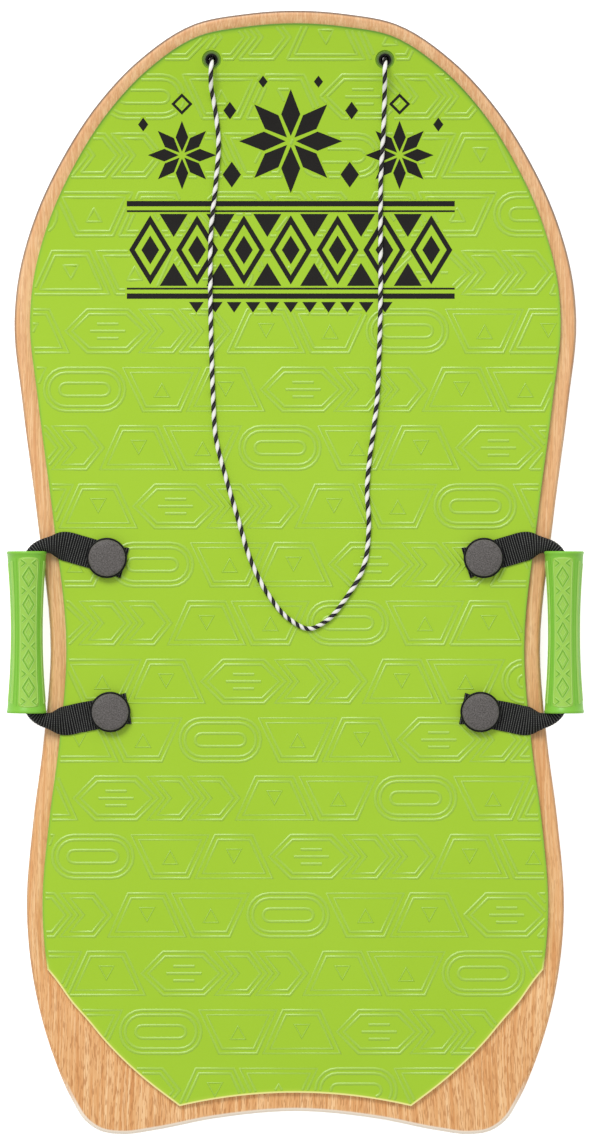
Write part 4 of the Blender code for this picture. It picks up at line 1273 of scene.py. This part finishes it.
# painted highlight on the ridges, painted shade on the dark lines
ridgeRubber = mouldedMaterial("gripRidgeRubber", grip["lineColour"], 0.42, 5, 1600, 0.3, specular=0.35)
grooveRubber = mouldedMaterial("gripGrooveRubber", grip["grooveColour"], 0.5, 4, 1600, 0.3, specular=0.2)
gripRidges, gripGrooves = gripLines()
for sideName, side in sides:
    gripBm = bmesh.new()
    spinProfile(gripBm, gripProfile(), grip["sides"],
                gripPlacing(sideName, side) @ Matrix.Rotation(math.radians(-90), 4, "X"))
    moulding = makePiece(sideName + "Grip", gripBm, gripRubber, sharpAngle=50)
    settle(moulding, sideName + "_grip_body", "grip_rubber", sideName + "_grip")
    gripBand(sideName, side, bandRubber)
    gripRelief("GripRidges", sideName, side, gripRidges, ridgeRubber)
    gripRelief("GripGrooves", sideName, side, gripGrooves, grooveRubber)
print("grips")

# Buttons, their cups and the flange nuts under the board
button = {"footZ": 0.0428, "capRadius": 0.0200, "rim": 0.0032, "rise": 0.0042, "cupFootZ": 0.0400,
          "cupRadius": 0.022, "cupWall": 0.0012, "cupHeight": 0.006, "cupFloor": 0.0025, "sides": 72,
          "socketRadius": 0.0068, "socketDepth": 0.0033, "boltRadius": 0.0033,
          "dome": ((1.0, 0.26), (0.998, 0.36), (0.990, 0.46), (0.975, 0.55), (0.945, 0.64), (0.88, 0.75),
                   (0.76, 0.85), (0.60, 0.93), (0.40, 0.98), (0.20, 1.0), (0.075, 1.0), (0.060, 0.94),
                   (0.045, 0.94), (0.030, 1.0), (0.0, 1.0))}
nut = {"footZ": 0.0003, "slots": 3, "slotOut": 0.0118, "slotUp": 0.0006,
       "slotSize": (0.006, 0.0026, 0.0014, 1), "sides": 48,
       "profile": ((0.0033, 0.0012), (0.0062, 0.0012), (0.0066, 0.0), (0.0170, 0.0), (0.0186, 0.0003),
                   (0.0190, 0.0009), (0.0190, 0.0022), (0.0060, 0.0022), (0.0060, 0.0194), (0.0057, 0.0197),
                   (0.0033, 0.0197))}
capPlastic = mouldedMaterial("buttonGrey", (88, 84, 82), 0.55, 26, 800, 0.6, specular=0.25)
cupPlastic = mouldedMaterial("cupBlack", (14, 14, 15), 0.45, 4, 1200, 0.3, specular=0.2)
nutPlastic = mouldedMaterial("nutBlack", (30, 30, 32), 0.45, 5, 1200, 0.3)
steel = mouldedMaterial("zincSteel", (176, 178, 181), 0.3, 10, 500, 0.15, metallic=1)


def turnedPiece(name, profile, steps, placing, material, slotName, *nodes, sharpAngle=40):
    bm = bmesh.new()
    spinProfile(bm, profile, steps, placing)
    piece = makePiece(name, bm, material, sharpAngle=sharpAngle)
    settle(piece, "board", slotName, *nodes)
    return piece


def capProfile():
    outer, socket, depth = button["capRadius"], button["socketRadius"], button["socketDepth"]
    top = [(outer * share, button["rim"] + button["rise"] * lift) for share, lift in button["dome"]]
    return [(0, depth), (socket, depth), (socket, 0), (outer - 0.0003, 0), (outer, 0.0003), *top]


def cupProfile():
    outer, inner, bolt = button["cupRadius"], button["cupRadius"] - button["cupWall"], button["boltRadius"]
    height, floorZ = button["cupHeight"], button["cupFloor"]
    return [(bolt, 0), (outer - 0.0005, 0), (outer, 0.0005), (outer, height - 0.0007),
            (outer - 0.0002, height - 0.0002), (outer - 0.0005, height), (inner + 0.0001, height),
            (inner, height - 0.0001), (inner, floorZ), (bolt, floorZ)]


def cutWrenchSlots(piece, centre):
    bm = bmesh.new()
    for i in range(nut["slots"]):
        bmesh.ops.create_cube(bm, size=1, matrix=Matrix.Translation((*centre, 0))
                              @ Matrix.Rotation(math.tau * i / nut["slots"], 4, "Z")
                              @ Matrix.Translation((nut["slotOut"], 0, nut["slotUp"]))
                              @ Matrix.Diagonal(nut["slotSize"]))
    cutter = cutterFrom("nutSlots", bm)
    cutWith(piece, cutter)
    piece.data.shade_smooth()
    piece.data.set_sharp_from_angle(angle=math.radians(40))
    bpy.data.objects.remove(cutter)


for endName, sideName, centre in anchorPlaces:
    tag, node = endName.capitalize() + sideName.capitalize(), endName + "_" + sideName
    capPlace, cupPlace, nutPlace = (Matrix.Translation((*centre, footZ))
                                    for footZ in (button["footZ"], button["cupFootZ"], nut["footZ"]))
    turnedPiece("buttonCap" + tag, capProfile(), button["sides"], capPlace, capPlastic, "button_grey",
                "button_cap_" + node)
    turnedPiece("buttonCup" + tag, cupProfile(), button["sides"], cupPlace, cupPlastic, "black_plastic",
                "button_cup_" + node)
    flangeNut = turnedPiece("flangeNut" + tag, nut["profile"], nut["sides"], nutPlace, nutPlastic,
                            "black_plastic", "flange_nut_" + node)
    cutWrenchSlots(flangeNut, centre)
    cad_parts["anchor_bolt_" + node].material_slots[0].material = steel
print("buttons and nuts")

# Eyelets in the rope holes, each with a dark green ring of painted shade laid in the pressed foam round it,
# and a washer below
eyeletBlack = mouldedMaterial("eyeletBlack", (18, 17, 17), 0.5, 4, 1200, 0.2, specular=0.12)
# painted shade: the dark green ring stands for the shade in the pressed foam round each eyelet
ringRubber = mouldedMaterial("ringRubber", (96, 120, 66), 0.75, 6, 1200, 0.3, specular=0.1)
bore, flange, top, wide = (eyelet[key] for key in ("bore", "flangeRadius", "flangeTop", "washerRadius"))
washerTop = -eyelet["depth"] - eyelet["gap"]
washerFoot = washerTop - eyelet["washerThick"]
pressed = -eyelet["pressDepth"] + 0.0001
eyeletProfile = [(bore, washerFoot - 0.0003), (eyeletWall, washerFoot - 0.0003), (eyeletWall, 0.0002),
                 (flange - 0.0004, 0.0), (flange, 0.0004), (flange - 0.0001, 0.0008), (flange - 0.0008, top),
                 (bore + 0.0009, top), (bore + 0.0002, top - 0.0003), (bore, top - 0.0009)]
ringProfile = [(holeRadius, pressed), (0.0087, pressed), (0.0088, -0.0005), (0.0084, -0.0003),
               (0.0076, -0.0001), (holeRadius, -0.0001)]
washerProfile = [(holeRadius, washerFoot), (wide - 0.0004, washerFoot), (wide, washerFoot + 0.0004),
                 (wide, washerTop), (holeRadius, washerTop)]
for sideName, side in sides:
    turnedPiece(sideName + "Eyelet", eyeletProfile, eyelet["sides"], holeFrame(side), eyeletBlack,
                "black_plastic", "eyelet_" + sideName)
    turnedPiece(sideName + "EyeletRing", ringProfile, eyelet["sides"], holeFrame(side), ringRubber,
                "black_plastic", sharpAngle=35)
    turnedPiece(sideName + "EyeletWasher", washerProfile, eyelet["boreSides"], holeFrame(side), steel,
                "bolt_steel", "eyelet_washer_" + sideName)
for cutter in (anchorCutter, boreCutter, pressCutter):
    bpy.data.objects.remove(cutter)
print("eyelets")

# Pale floor, soft light from the nose side
studio = {"sky": 0.62, "floorColour": 0.86, "floorGlow": 0.76, "floorZ": -0.0004, "floorHalf": 8,
          "keyPower": 339, "keySize": 3.4, "keyDistance": 8.0,
          "keyTilt": math.radians(40), "keyTurn": math.radians(24)}
white = (1, 1, 1, 1)


def seenPlainly(tree):
    # 1 where the camera sees the place, straight or in a shine or through glass
    paths = addNode(tree, "ShaderNodeLightPath").outputs
    direct = combine(tree, "MAXIMUM", paths["Is Camera Ray"], paths["Is Glossy Ray"])
    return combine(tree, "MAXIMUM", direct, paths["Is Transmission Ray"])


floorBm = bmesh.new()
bmesh.ops.create_grid(floorBm, x_segments=1, y_segments=1, size=studio["floorHalf"],
                      matrix=Matrix.Translation((0, 0, studio["floorZ"])))
floorPaint, tree, shader = startMaterial("studioFloor", 0.95, specular=0.1)
shader.inputs["Base Color"].default_value = (*[studio["floorColour"]] * 3, 1)
shader.inputs["Emission Color"].default_value = white
glow = combine(tree, "MULTIPLY", seenPlainly(tree), studio["floorGlow"])
tree.links.new(glow, shader.inputs["Emission Strength"])
makePiece("studioFloor", floorBm, floorPaint)

scene.world = bpy.data.worlds.new("studio")
scene.world.use_nodes = True
tree = scene.world.node_tree
sky = tree.nodes["Background"]
sky.inputs["Color"].default_value = white
tree.links.new(rangeValue(tree, seenPlainly(tree), 0, 1, studio["sky"], 1.0), sky.inputs["Strength"])

key = bpy.data.objects.new("keyLight", bpy.data.lights.new("keyLight", "AREA"))
key.data.shape = "DISK"
key.data.size = studio["keySize"]
key.data.energy = studio["keyPower"]
tilted = Vector((0, math.sin(studio["keyTilt"]), math.cos(studio["keyTilt"])))
away = Matrix.Rotation(studio["keyTurn"], 3, "Z") @ tilted
key.location = away * studio["keyDistance"]
key.rotation_euler = away.to_track_quat("Z", "Y").to_euler()
scene.collection.objects.link(key)
print("studio")
